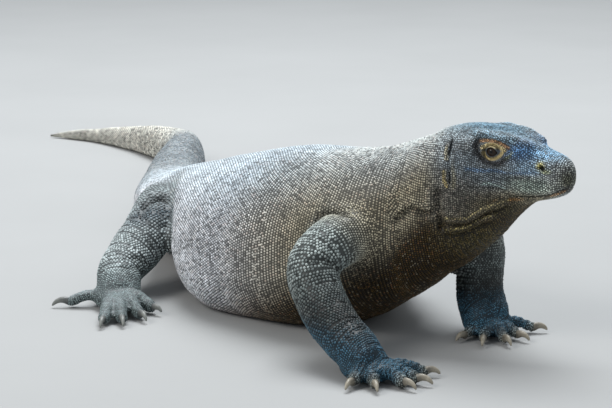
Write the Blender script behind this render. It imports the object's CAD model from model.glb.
"""Komodo dragon at life size: one skin, a coat of scales, lids, eyes and claws."""
import logging
import math
from dataclasses import dataclass, field
from enum import Enum

import bmesh
import bpy
import numpy as np
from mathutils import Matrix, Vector
from mathutils.bvhtree import BVHTree
from mathutils.kdtree import KDTree

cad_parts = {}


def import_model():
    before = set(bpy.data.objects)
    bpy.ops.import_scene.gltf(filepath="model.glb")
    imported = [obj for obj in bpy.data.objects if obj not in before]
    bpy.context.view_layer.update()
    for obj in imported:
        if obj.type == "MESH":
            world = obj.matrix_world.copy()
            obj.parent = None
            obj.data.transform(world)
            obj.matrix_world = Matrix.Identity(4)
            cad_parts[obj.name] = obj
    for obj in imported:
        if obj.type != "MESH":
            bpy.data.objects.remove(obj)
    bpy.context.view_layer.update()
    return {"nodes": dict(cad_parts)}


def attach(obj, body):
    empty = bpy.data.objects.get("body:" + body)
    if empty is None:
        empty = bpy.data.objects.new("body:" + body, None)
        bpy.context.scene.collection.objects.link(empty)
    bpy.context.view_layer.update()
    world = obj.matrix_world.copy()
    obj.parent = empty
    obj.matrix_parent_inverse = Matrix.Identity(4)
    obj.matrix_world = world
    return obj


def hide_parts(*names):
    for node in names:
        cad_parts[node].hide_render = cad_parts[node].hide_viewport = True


log = logging.getLogger("dragon")
logging.basicConfig(level=logging.INFO, format="%(message)s")

Array = np.ndarray
MM = 0.001
SHIFT = np.array([514.838, -44.527, 0.0])  # from the animal's own axes to the frame
COAT_DEPTH = 1.5  # mm from the skin to the tips of the scales
SKIN_FLOOR = COAT_DEPTH * 0.8  # mm, the lowest height of the skin
CLEAR_SIDE, CLEAR_DROP = 1.02, 12  # half-widths beside and mm under the spine's low line


# ---- shapes by sections ---------------------------------------------------------------
def between(rows: Array, t: float) -> Array:
    """Smooth value between table rows.

    Args:
        rows: One row of numbers for each station.
        t: Place in the table, counted in rows.

    Returns:
        The row at that place, by a Catmull-Rom curve on each column.
    """
    i = min(int(t), len(rows) - 2)
    f = t - i
    b, c = rows[i], rows[i + 1]
    a = rows[i - 1] if i > 0 else b
    d = rows[i + 2] if i + 2 < len(rows) else c
    m1, m2 = (c - a) / 2, (d - b) / 2
    f2, f3 = f * f, f * f * f
    return (2 * f3 - 3 * f2 + 1) * b + (f3 - 2 * f2 + f) * m1 + (3 * f2 - 2 * f3) * c + (f3 - f2) * m2


def turns(count: int, shift: float = 0.0) -> Array:
    """Angles of points spaced evenly round a ring."""
    return (np.arange(count) + shift) / count * 2 * math.pi


def run_along(points: Array) -> Array:
    """Length from the first point to each point of a line."""
    return np.concatenate([[0], np.cumsum(np.linalg.norm(np.diff(points, axis=0), axis=1))])


def rounded(c: Array, power: float) -> Array:
    """Share of a half-width at the cosine or sine c round a superellipse."""
    return np.sign(c) * np.abs(c) ** (2 / power)


def upright_ring(row: Array, heading: float, sides: int, power: float, inset: float) -> Array:
    """Upright cross-section of the body or head.

    Args:
        row: Place x and y, lowest and highest point, half-width and waist share.
        heading: Direction that the section faces, in radians.
        sides: Number of points.
        power: Superellipse power.
        inset: Millimetres to stay inside the outline.

    Returns:
        The points of the ring.
    """
    x, y, low, high, half, waist = row[:6]
    level = low + (high - low) * waist
    low, high, half = low + inset, high - inset, max(half - inset, 0.6)
    angle = turns(sides)
    across = rounded(np.cos(angle), power) * half
    rise = rounded(np.sin(angle), power)
    z = level + rise * np.where(rise > 0, high - level, level - low)
    left = np.array([-math.sin(heading), math.cos(heading)])
    return np.column_stack([x + left[0] * across, y + left[1] * across, z])


@dataclass
class Shells:
    """Closed shells gathered into one set of points and faces."""

    points: list[Array] = field(default_factory=list)
    faces: list[list[int]] = field(default_factory=list)
    count: int = 0

    def add_rings(self, rings: list[Array]) -> None:
        """Adds a closed loft through rings of equal length.

        Args:
            rings: The rings in order, each an array of points.
        """
        sides = len(rings[0])
        start = self.count
        for r in range(len(rings) - 1):
            for k in range(sides):
                a = start + r * sides + k
                b = start + r * sides + (k + 1) % sides
                self.faces.append([a, b, b + sides, a + sides])
        self.faces.append([start + k for k in range(sides)][::-1])
        last = start + (len(rings) - 1) * sides
        self.faces.append([last + k for k in range(sides)])
        self.points.extend(rings)
        self.count += len(rings) * sides

    def add_ball(self, place: Array, radii: Array, turn: float, sides: int = 32) -> None:
        """Adds a stretched ball.

        Args:
            place: Centre.
            radii: Half sizes along its own three axes.
            turn: Turn about the vertical, in radians.
            sides: Points round it.
        """
        c, s = math.cos(turn), math.sin(turn)
        angle = turns(sides)
        rings = []
        for step in np.linspace(0.04, 0.96, 16) * math.pi:
            x = radii[0] * math.sin(step) * np.cos(angle)
            y = radii[1] * math.sin(step) * np.sin(angle)
            z = np.full(sides, -radii[2] * math.cos(step))
            rings.append(np.column_stack([place[0] + x * c - y * s, place[1] + x * s + y * c, place[2] + z]))
        self.add_rings(rings)

    def mesh(self, name: str, floor: float) -> bpy.types.Mesh:
        """Makes a mesh of all shells, in metres of the shared frame.

        Args:
            name: Name of the mesh.
            floor: Lowest height that a point keeps, in millimetres.

        Returns:
            The mesh.
        """
        co = np.vstack(self.points)
        co[:, 2] = np.maximum(co[:, 2], floor)
        made = bpy.data.meshes.new(name)
        made.from_pydata(((co + SHIFT) * MM).tolist(), [], self.faces)
        return made


@dataclass
class Trunk:
    """Neck, trunk and tail as upright sections along a bent spine."""

    fullness: float = 2.25
    sides: int = 72
    step: float = 7.0
    table: Array = field(default_factory=lambda: np.array([
        [375.5, 69, 108, 350, 84, 0.58], [332, 51, 70, 328, 106, 0.54],
        [288, 28, 38, 311, 130, 0.50], [235, 12, 10, 299, 154, 0.48],
        [165, 0, -18, 289, 177, 0.44], [90, 0, -30, 280, 197, 0.40],
        [10, 0, -36, 267, 206, 0.38], [-70, 0, -28, 248, 190, 0.40],
        [-140, 0, -6, 230, 158, 0.44], [-210, 0, 14, 210, 132, 0.48],
        [-280, 2, 18, 192, 114, 0.50], [-350, 12, 14, 172, 100, 0.50],
        [-430, 34, 6, 152, 91, 0.48], [-508, 62, 0, 136, 82, 0.46],
        [-684, 158, -3, 117, 68, 0.42], [-855, 263, -3, 106, 57, 0.40],
        [-1020, 376, -3, 97, 47, 0.38], [-1140, 434, -3, 86, 39, 0.38],
        [-1290, 446, -3, 69, 30, 0.38], [-1405, 438, -2, 52, 23, 0.38],
        [-1510, 415, -2, 34, 15, 0.40], [-1585, 376, -1, 21, 9, 0.45],
        [-1628, 345, 0, 9, 3.5, 0.50]]))

    def __post_init__(self) -> None:
        """Samples the spine once, with its length and heading at each sample."""
        last = len(self.table) - 1
        self.at = np.linspace(0, last, last * 10 + 1)
        self.rows = np.array([between(self.table, t) for t in self.at])
        steps = np.hypot(*np.diff(self.rows[:, :2], axis=0).T)
        self.run = np.concatenate([[0], np.cumsum(steps)])
        ahead = np.gradient(self.rows[:, :2], axis=0)
        self.heading = np.unwrap(np.arctan2(-ahead[:, 1], -ahead[:, 0]))
        self.heading[0] = math.radians(22)

    def place(self, run: float) -> tuple[Array, float]:
        """Section row and heading at a length along the spine."""
        t = np.interp(run, self.run, self.at)
        return between(self.table, t), float(np.interp(t, self.at, self.heading))

    def ring(self, run: float, sides: int, inset: float) -> Array:
        """Ring of points at a length along the spine."""
        row, heading = self.place(run)
        return upright_ring(row, heading, sides, self.fullness, inset)

    def add_to(self, shells: Shells) -> None:
        """Adds the whole loft to the shells."""
        runs = np.arange(0, self.run[-1], self.step)
        shells.add_rings([self.ring(s, self.sides, COAT_DEPTH) for s in runs])

    def unwrap(self, co: Array) -> tuple[Array, Array, Array]:
        """Length along the spine, angle round it and the spine's sample for points.

        Args:
            co: Points in millimetres.

        Returns:
            Length, angle from the left side over the back, and sample index.
        """
        near = nearest_sample(self.rows[:, :2], co[:, :2])
        row = self.rows[near]
        head = self.heading[near]
        aside, level = self.cross_place(co, near)
        back = -np.cos(head) * (co[:, 0] - row[:, 0]) - np.sin(head) * (co[:, 1] - row[:, 1])
        return self.run[near] + np.clip(back, -12, 12), np.arctan2(co[:, 2] - level, aside), near

    def cross_place(self, co: Array, near: Array) -> tuple[Array, Array]:
        """How far points are to the left of the spine, and the height of the waist there."""
        row, head = self.rows[near], self.heading[near]
        aside = -np.sin(head) * (co[:, 0] - row[:, 0]) + np.cos(head) * (co[:, 1] - row[:, 1])
        return aside, row[:, 2] + (row[:, 3] - row[:, 2]) * row[:, 5]

    def clear(self, co: Array, near: Array) -> Array:
        """1 for points beside or under the trunk, with their nearest samples."""
        row = self.rows[near]
        aside = np.hypot(co[:, 0] - row[:, 0], co[:, 1] - row[:, 1]) > row[:, 4] * CLEAR_SIDE
        return (aside | (co[:, 2] < row[:, 2] - CLEAR_DROP)).astype(float)

    def outside(self, co: Array, near: Array) -> Array:
        """Rough height of points over the trunk's outline, with their nearest samples."""
        row = self.rows[near]
        aside, level = self.cross_place(co, near)
        tall = np.where(co[:, 2] > level, row[:, 3] - level, level - row[:, 2])
        power = self.fullness
        across, up = np.abs(aside / row[:, 4]), np.abs((co[:, 2] - level) / tall)
        share = (across ** power + up ** power) ** (1 / power)
        return (share - 1) * np.minimum(row[:, 4], tall)


def nearest_sample(samples: Array, co: Array, block: int = 4000) -> Array:
    """Index of the sample nearest to each point.

    Args:
        samples: Points of a centre line.
        co: The points to look up.
        block: Points handled at a time.

    Returns:
        One index for each point.
    """
    out = np.empty(len(co), int)
    own = (samples ** 2).sum(1)
    for s in range(0, len(co), block):
        out[s:s + block] = (own - 2 * (co[s:s + block] @ samples.T)).argmin(1)
    return out


@dataclass
class Head:
    """Head on an axis of its own that starts between the ears."""

    x: float = 393.0
    y: float = 76.0
    turn: float = math.radians(22)
    fullness: float = 2.5
    sides: int = 96
    sections: Array = field(default_factory=lambda: np.array([
        [-18.7, 0, 108, 350, 84, 0.58], [10, 0, 126, 358, 78, 0.60],
        [40, 0, 152, 361, 68, 0.62], [75, 0, 184, 359, 54, 0.60],
        [105, 0, 217, 354, 43, 0.54], [135, 0, 243, 342, 36, 0.47],
        [160, 0, 251, 332, 32, 0.46], [180, 0, 257, 325, 27, 0.46],
        [195, 0, 265, 318, 19, 0.48], [204, 0, 281, 305, 7, 0.50]]))
    masses: tuple[tuple[float, ...], ...] = (
        (92, 31, 346, 34, 15, 13), (38, 44, 322, 34, 19, 27),
        (30, 40, 262, 40, 22, 26), (168, 17, 309, 22, 14, 14), (121, 25, 339, 26, 12, 12),
        (60, 34, 350, 26, 14, 10), (46, 50, 331, 17, 13, 16))
    mouth: Array = field(default_factory=lambda: np.array([
        [209, 281], [200, 280], [197, 275], [185, 270], [171, 263], [154, 259], [139, 257], [127, 257],
        [115, 258], [107, 263], [101, 268], [86, 269], [54, 269], [35, 269]]))

    def world(self, local: Array) -> Array:
        """Points from along, left and up of the head to the animal's axes."""
        c, s = math.cos(self.turn), math.sin(self.turn)
        u, v, z = local[..., 0], local[..., 1], local[..., 2]
        return np.stack([self.x + u * c - v * s, self.y + u * s + v * c, z], -1)

    def local(self, co: Array) -> Array:
        """Points from the animal's axes to along, left and up of the head."""
        c, s = math.cos(self.turn), math.sin(self.turn)
        dx, dy = co[..., 0] - self.x, co[..., 1] - self.y
        return np.stack([dx * c + dy * s, -dx * s + dy * c, co[..., 2]], -1)

    def turned(self, way: Array) -> Array:
        """A direction from the head's axes in the animal's axes."""
        return self.world(way) - self.world(np.zeros(3))

    def lip_gap(self, local: Array) -> Array:
        """Height between points of the head and the line of the mouth."""
        line = self.mouth[::-1]
        return np.abs(local[:, 2] - np.interp(local[:, 0], line[:, 0], line[:, 1]))

    def add_to(self, shells: Shells) -> None:
        """Adds the head's loft and its rounded masses to the shells."""
        last = len(self.sections) - 1
        rings = []
        for t in np.linspace(0, last, last * 14 + 1):
            row = between(self.sections, t).copy()
            place = self.world(np.array([row[0], 0.0, 0.0]))
            row[0], row[1] = place[0], place[1]
            rings.append(upright_ring(row, self.turn, self.sides, self.fullness, COAT_DEPTH)[::-1])
        shells.add_rings(rings)
        for u, v, z, long, wide, high in self.masses:
            for side in (1, -1):
                place = self.world(np.array([u, side * v, z]))
                radii = np.array([long, wide, high], float) - COAT_DEPTH
                shells.add_ball(place, radii, self.turn)


@dataclass
class Toe:
    """One toe: its yaw in degrees, length, radius and the claw's length."""

    yaw: float
    length: float
    radius: float
    claw: float

    def way(self) -> Array:
        """Direction of the toe along the floor."""
        return np.array([math.cos(math.radians(self.yaw)), math.sin(math.radians(self.yaw)), 0.0])

    def line(self, palm: Array) -> Array:
        """Centre points and thickness of the toe, from inside the palm to its end."""
        table = np.array([[0.30, 1.55, 1.04], [0.46, 1.74, 1.02], [0.60, 1.78, 1.02], [0.78, 1.34, 0.96],
                          [0.93, 0.90, 0.92], [1.02, 0.86, 0.70]])
        rows = []
        for t in np.linspace(0, len(table) - 1, 41):
            share, lift, size = between(table, t)
            knuckle = 1 + 0.055 * math.cos(share * self.length / 24 * 2 * math.pi)
            spot = palm + self.way() * self.length * share
            thick = self.radius * size * 0.95 * knuckle
            rows.append([spot[0], spot[1], self.radius * lift, thick, thick * 0.94])
        return np.array(rows)


def carried_axes(line: Array) -> tuple[Array, Array, Array]:
    """Directions carried along a bent line without twist.

    Args:
        line: Rows that start with x, y and z.

    Returns:
        The directions along, across and square to both, one row for each point.
    """
    ahead = np.gradient(line[:, :3], axis=0)
    ahead /= np.linalg.norm(ahead, axis=1)[:, None]
    across = np.array([1.0, 0.0, 0.0])
    rows = []
    for along in ahead:
        across = across - along * across.dot(along)
        across /= np.linalg.norm(across)
        rows.append(across)
    return ahead, np.array(rows), np.cross(ahead, np.array(rows))


def tube_rings(line: Array, sides: int, inset: float) -> list[Array]:
    """Rings square to a bent centre line, carried along it without twist.

    Args:
        line: Rows of x, y, z and two half-thicknesses.
        sides: Points in each ring.
        inset: Millimetres to stay inside.

    Returns:
        The rings in order.
    """
    angle = turns(sides)
    rings = []
    _, first, second = carried_axes(line)
    for row, across, third in zip(line, first, second):
        a, b = max(row[3] - inset, 0.5), max(row[4] - inset, 0.5)
        rings.append(row[:3] + np.outer(np.cos(angle) * a, across) + np.outer(np.sin(angle) * b, third))
    return rings


@dataclass
class Leg:
    """One leg as centre points with two half-thicknesses, with its palm and toes."""

    name: str
    points: tuple[tuple[float, ...], ...]
    palm: tuple[float, ...]
    toes: tuple[Toe, ...]
    sides: int = 44

    def line(self) -> Array:
        """Fine centre line of the leg."""
        table = np.array(self.points, float)
        return np.array([between(table, t) for t in np.linspace(0, len(table) - 1, 90)])

    def palm_spot(self) -> Array:
        """Centre of the palm on the floor."""
        return np.array([self.palm[0], self.palm[1], 0.0])

    def palm_gap(self, co: Array) -> Array:
        """Distance of points from the middle of the palm, seen from above."""
        return np.hypot(co[:, 0] - self.palm[0], co[:, 1] - self.palm[1])

    def limb_gap(self, co: Array) -> tuple[Array, Array]:
        """Distance of points from the centre line in half-widths, and the nearest sample."""
        line = self.line()
        near = nearest_sample(line[:, :3], co)
        return np.linalg.norm(co - line[near, :3], axis=1) / line[near, 3], near

    @property
    def is_front(self) -> bool:
        """Whether this is a front leg."""
        return self.name.startswith("front")

    def add_to(self, shells: Shells) -> None:
        """Adds the limb, the palm and the toes to the shells."""
        shells.add_rings(tube_rings(self.line(), self.sides, COAT_DEPTH))
        x, y, long, wide, high = self.palm
        radii = np.array([long, wide, high * 0.75]) - COAT_DEPTH
        turn = math.radians(self.toes[2].yaw)
        shells.add_ball(np.array([x, y, high * 0.55]), radii, turn)
        for toe in self.toes:
            shells.add_rings(tube_rings(toe.line(self.palm_spot()), 20, COAT_DEPTH * 0.8))


def legs() -> list[Leg]:
    """The four legs in the pose."""
    return [
        Leg("front_right",
            ((318, -58, 182, 50, 46), (326, -104, 180, 47, 44), (332, -142, 168, 43, 42),
             (342, -174, 146, 41, 40), (362, -180, 113, 41, 40), (402, -184, 82, 39, 38),
             (446, -186, 56, 38, 37), (482, -181, 42, 35, 39), (514, -173, 28, 23, 36)),
            (498, -177, 46, 41, 31),
            (Toe(62, 92, 12, 24), Toe(33, 84, 12.5, 27), Toe(12, 78, 12.5, 27), Toe(-24, 64, 12.5, 25),
             Toe(-58, 58, 12, 26))),
        Leg("front_left",
            ((296, 66, 182, 48, 46), (316, 104, 180, 46, 46), (336, 128, 168, 44, 44),
             (354, 144, 145, 43, 42), (362, 142, 112, 42, 41), (366, 138, 80, 40, 39),
             (371, 137, 53, 40, 42), (386, 134, 38, 35, 42), (410, 128, 26, 22, 38)),
            (390, 136, 46, 42, 31),
            (Toe(-74, 62, 11.5, 24), Toe(-42, 70, 12, 27), Toe(-14, 74, 12.5, 27), Toe(14, 66, 12, 25),
             Toe(60, 80, 11.5, 23))),
        Leg("hind_right",
            ((-318, -44, 104, 58, 56), (-278, -82, 116, 57, 53), (-238, -116, 122, 52, 48),
             (-204, -150, 118, 46, 45), (-176, -184, 98, 46, 43), (-162, -219, 74, 45, 41),
             (-140, -256, 52, 40, 38), (-112, -276, 39, 40, 32), (-78, -290, 27, 36, 22)),
            (-96, -290, 56, 42, 31),
            (Toe(18, 86, 14, 22), Toe(-6, 106, 13.5, 29), Toe(-24, 124, 13, 30), Toe(-38, 130, 13, 30),
             Toe(-119, 84, 12, 30))),
        Leg("hind_left",
            ((-330, 66, 104, 58, 56), (-294, 104, 114, 57, 53), (-256, 138, 118, 52, 48),
             (-224, 172, 114, 46, 45), (-204, 204, 95, 45, 42), (-194, 236, 72, 42, 38),
             (-187, 264, 50, 37, 36), (-164, 284, 37, 37, 31), (-132, 296, 26, 34, 21)),
            (-152, 297, 52, 40, 29),
            (Toe(-18, 86, 14, 22), Toe(5, 106, 13.5, 29), Toe(22, 124, 13, 30), Toe(37, 130, 13, 30),
             Toe(108, 82, 12, 29))),
    ]


# ---- mesh tools ------------------------------------------------------------------------
def coords(mesh: bpy.types.Mesh) -> Array:
    """Vertex places of a mesh."""
    co = np.empty(len(mesh.vertices) * 3, np.float32)
    mesh.vertices.foreach_get("co", co)
    return co.reshape(-1, 3).astype(float)


def set_coords(mesh: bpy.types.Mesh, co: Array) -> None:
    """Writes vertex places back to a mesh."""
    mesh.vertices.foreach_set("co", co.astype(np.float32).ravel())
    mesh.update()


def body_coords(mesh: bpy.types.Mesh) -> Array:
    """Vertex places of a mesh, in millimetres of the animal's own axes."""
    return coords(mesh) / MM - SHIFT


def set_body_coords(mesh: bpy.types.Mesh, co: Array) -> None:
    """Writes places in millimetres of the animal's own axes back to a mesh, above the floor."""
    co[:, 2] = np.maximum(co[:, 2], SKIN_FLOOR)
    set_coords(mesh, (co + SHIFT) * MM)


def corners_of(mesh: bpy.types.Mesh) -> list[tuple[int, ...]]:
    """The corners of each face of a mesh."""
    return [tuple(face.vertices) for face in mesh.polygons]


def smooth_faces(mesh: bpy.types.Mesh) -> None:
    """Shades all faces of a mesh smooth."""
    mesh.polygons.foreach_set("use_smooth", np.ones(len(mesh.polygons), bool))


def add_object(name: str, data: bpy.types.ID) -> bpy.types.Object:
    """Adds an object to the scene."""
    made = bpy.data.objects.new(name, data)
    bpy.context.scene.collection.objects.link(made)
    return made


def aim(thing: bpy.types.Object, way: Vector) -> None:
    """Turns a lamp or camera to look along a direction."""
    thing.rotation_mode = "QUATERNION"
    thing.rotation_quaternion = way.to_track_quat("-Z", "Y")


def normals(mesh: bpy.types.Mesh) -> Array:
    """Vertex normals of a mesh."""
    out = np.empty(len(mesh.vertices) * 3, np.float32)
    mesh.vertex_normals.foreach_get("vector", out)
    return out.reshape(-1, 3).astype(float)


def relax(mesh: bpy.types.Mesh, co: Array, weight: Array, rounds: int) -> Array:
    """Moves points towards the middle of their neighbours.

    Args:
        mesh: Mesh that gives the edges.
        co: Places to smooth.
        weight: Share of the move for each point, 0 to 1.
        rounds: Number of rounds.

    Returns:
        The smoothed places.
    """
    ends = np.empty(len(mesh.edges) * 2, np.int32)
    mesh.edges.foreach_get("vertices", ends)
    a, b = ends.reshape(-1, 2).T
    total = len(co)
    share = np.bincount(a, minlength=total) + np.bincount(b, minlength=total)
    share = np.maximum(share, 1)
    for _ in range(rounds):
        for axis in range(3):
            value = co[:, axis]
            mean = np.bincount(a, value[b], total) + np.bincount(b, value[a], total)
            co[:, axis] = value + weight * (mean / share - value)
    return co


def remeshed(mesh: bpy.types.Mesh, voxel: float) -> bpy.types.Object:
    """Object with one closed surface round all shells of a mesh.

    Args:
        mesh: Mesh with overlapping shells.
        voxel: Cell size in metres.

    Returns:
        A linked object that holds the new surface.
    """
    source = add_object(mesh.name, mesh)
    change = source.modifiers.new("remesh", "REMESH")
    change.mode = "VOXEL"
    change.voxel_size = voxel
    graph = bpy.context.evaluated_depsgraph_get()
    made = bpy.data.meshes.new_from_object(source.evaluated_get(graph))
    bpy.data.objects.remove(source)
    return add_object(mesh.name + "_surface", made)


def lookup(co: Array) -> KDTree:
    """Search tree over points."""
    tree = KDTree(len(co))
    for i, point in enumerate(co.tolist()):
        tree.insert(point, i)
    tree.balance()
    return tree


def waves(co: Array, size: float, seed: int) -> Array:
    """Soft irregular heights from a sum of sine waves, about -1 to 1.

    Args:
        co: Points.
        size: Typical wavelength in the same unit.
        seed: Picks the wave directions.

    Returns:
        One height for each point.
    """
    rng = np.random.default_rng(seed)
    out = np.zeros(len(co))
    for _ in range(9):
        way = rng.normal(size=3)
        way /= np.linalg.norm(way)
        rate = 2 * math.pi / (size * rng.uniform(0.7, 1.5))
        bend = np.sin(co @ rng.normal(size=3) * rate * 0.25) * 1.3
        out += np.sin(co @ way * rate + bend + rng.uniform(0, 6.28))
    return out / 4.2


def smooth(low: float, high: float, value: Array) -> Array:
    """Smooth step from 0 at low to 1 at high."""
    t = np.clip((value - low) / (high - low), 0, 1)
    return t * t * (3 - 2 * t)


def line_distance(co: Array, line: Array) -> tuple[Array, Array]:
    """Distance from points to a bent line, and the share of the line at the nearest place.

    Args:
        co: Points.
        line: Corner points of the line.

    Returns:
        Distances, and shares from 0 at the start to 1 at the end.
    """
    best = np.full(len(co), 1e9)
    share = np.zeros(len(co))
    count = len(line) - 1
    for i in range(count):
        a, b = line[i], line[i + 1]
        ab = b - a
        t = np.clip(((co - a) @ ab) / max(ab @ ab, 1e-9), 0, 1)
        gap = np.linalg.norm(co - (a + t[:, None] * ab), axis=1)
        closer = gap < best
        best = np.where(closer, gap, best)
        share = np.where(closer, (i + t) / count, share)
    return best, share


def bent(points: list[tuple[float, ...]], steps: int = 6) -> Array:
    """Smooth line through a few points."""
    table = np.array(points, float)
    last = len(table) - 1
    return np.array([between(table, t) for t in np.linspace(0, last, last * steps + 1)])


class Axes(Enum):
    """The axes that a fold's points are given in."""

    BODY = "body"
    HEAD = "head"


@dataclass
class Fold:
    """A ridge or crease in the skin along a line, raised or sunk.

    height is positive for a ridge. A pair is made on both sides of its own axes.
    """

    points: list[tuple[float, float, float]]
    height: float
    width: float
    axes: Axes = Axes.HEAD
    pair: bool = True
    lines: list[Array] = field(default_factory=list)

    def lay(self, surface: KDTree) -> None:
        """Lays the fold's line on the points of the skin, on each side."""
        for side in ((1, -1) if self.pair else (1,)):
            line = bent([(x, y * side, z) for x, y, z in self.points])
            line = np.array([surface.find(point)[0][:] for point in line])
            line[1:-1] = (line[:-2] + 2 * line[1:-1] + line[2:]) / 4
            self.lines.append(line)

    def share(self, co: Array) -> Array:
        """How near each point is to the fold, 0 to 1.

        Args:
            co: Points in the fold's own axes, in millimetres.

        Returns:
            Shares that fade out at the fold's sides and ends.
        """
        out = np.zeros(len(co))
        for line in self.lines:
            reach = self.width * 3
            low, high = line.min(0) - reach, line.max(0) + reach
            near = np.where(((co > low) & (co < high)).all(1))[0]
            if len(near) == 0:
                continue
            gap, along = line_distance(co[near], line)
            fade = smooth(0, 0.12, along) * (1 - smooth(0.88, 1, along))
            out[near] = np.maximum(out[near], fade * np.exp(-(gap / self.width) ** 2))
        return out


@dataclass
class Pit:
    """An opening sunk into the head, with a raised rim: nostril or ear."""

    place: tuple[float, float, float]
    long: float
    high: float
    depth: float
    rim: float

    def lift(self, local: Array) -> Array:
        """Height that the pit adds to each point of the head."""
        out = np.zeros(len(local))
        for side in (1, -1):
            u = (local[:, 0] - self.place[0]) / self.long
            z = (local[:, 2] - self.place[2]) / self.high
            near = np.abs(local[:, 1] - side * self.place[1]) < 16
            reach = np.hypot(u, z)
            out += np.where(near, -self.depth * (1 - smooth(0.45, 1.05, reach)), 0)
            out += np.where(near, self.rim * np.exp(-((reach - 1.35) / 0.36) ** 2), 0)
        return out


@dataclass
class Eye:
    """Eyeball in the head, with the opening between its lids."""

    place: tuple[float, float, float] = (82.0, 41.2, 325.2)
    radius: float = 9.5
    open_long: float = 8.0
    open_high: float = 7.0
    lid_reach: float = 17.0

    def look(self, side: int) -> Array:
        """Direction that the eye looks, in the head's axes."""
        way = np.array([0.16, side * 0.97, 0.17])
        return way / np.linalg.norm(way)

    def centre(self, side: int) -> Array:
        """Centre of the eyeball in the head's axes."""
        return np.array([self.place[0], side * self.place[1], self.place[2]])

    def offset(self, local: Array, side: int) -> tuple[Array, Array]:
        """Height of points over the eye's centre, and their distance from its own axis."""
        look = self.look(side)
        gap = local - self.centre(side)
        height = gap @ look
        return height, np.linalg.norm(gap - height[:, None] * look, axis=1)


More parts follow.
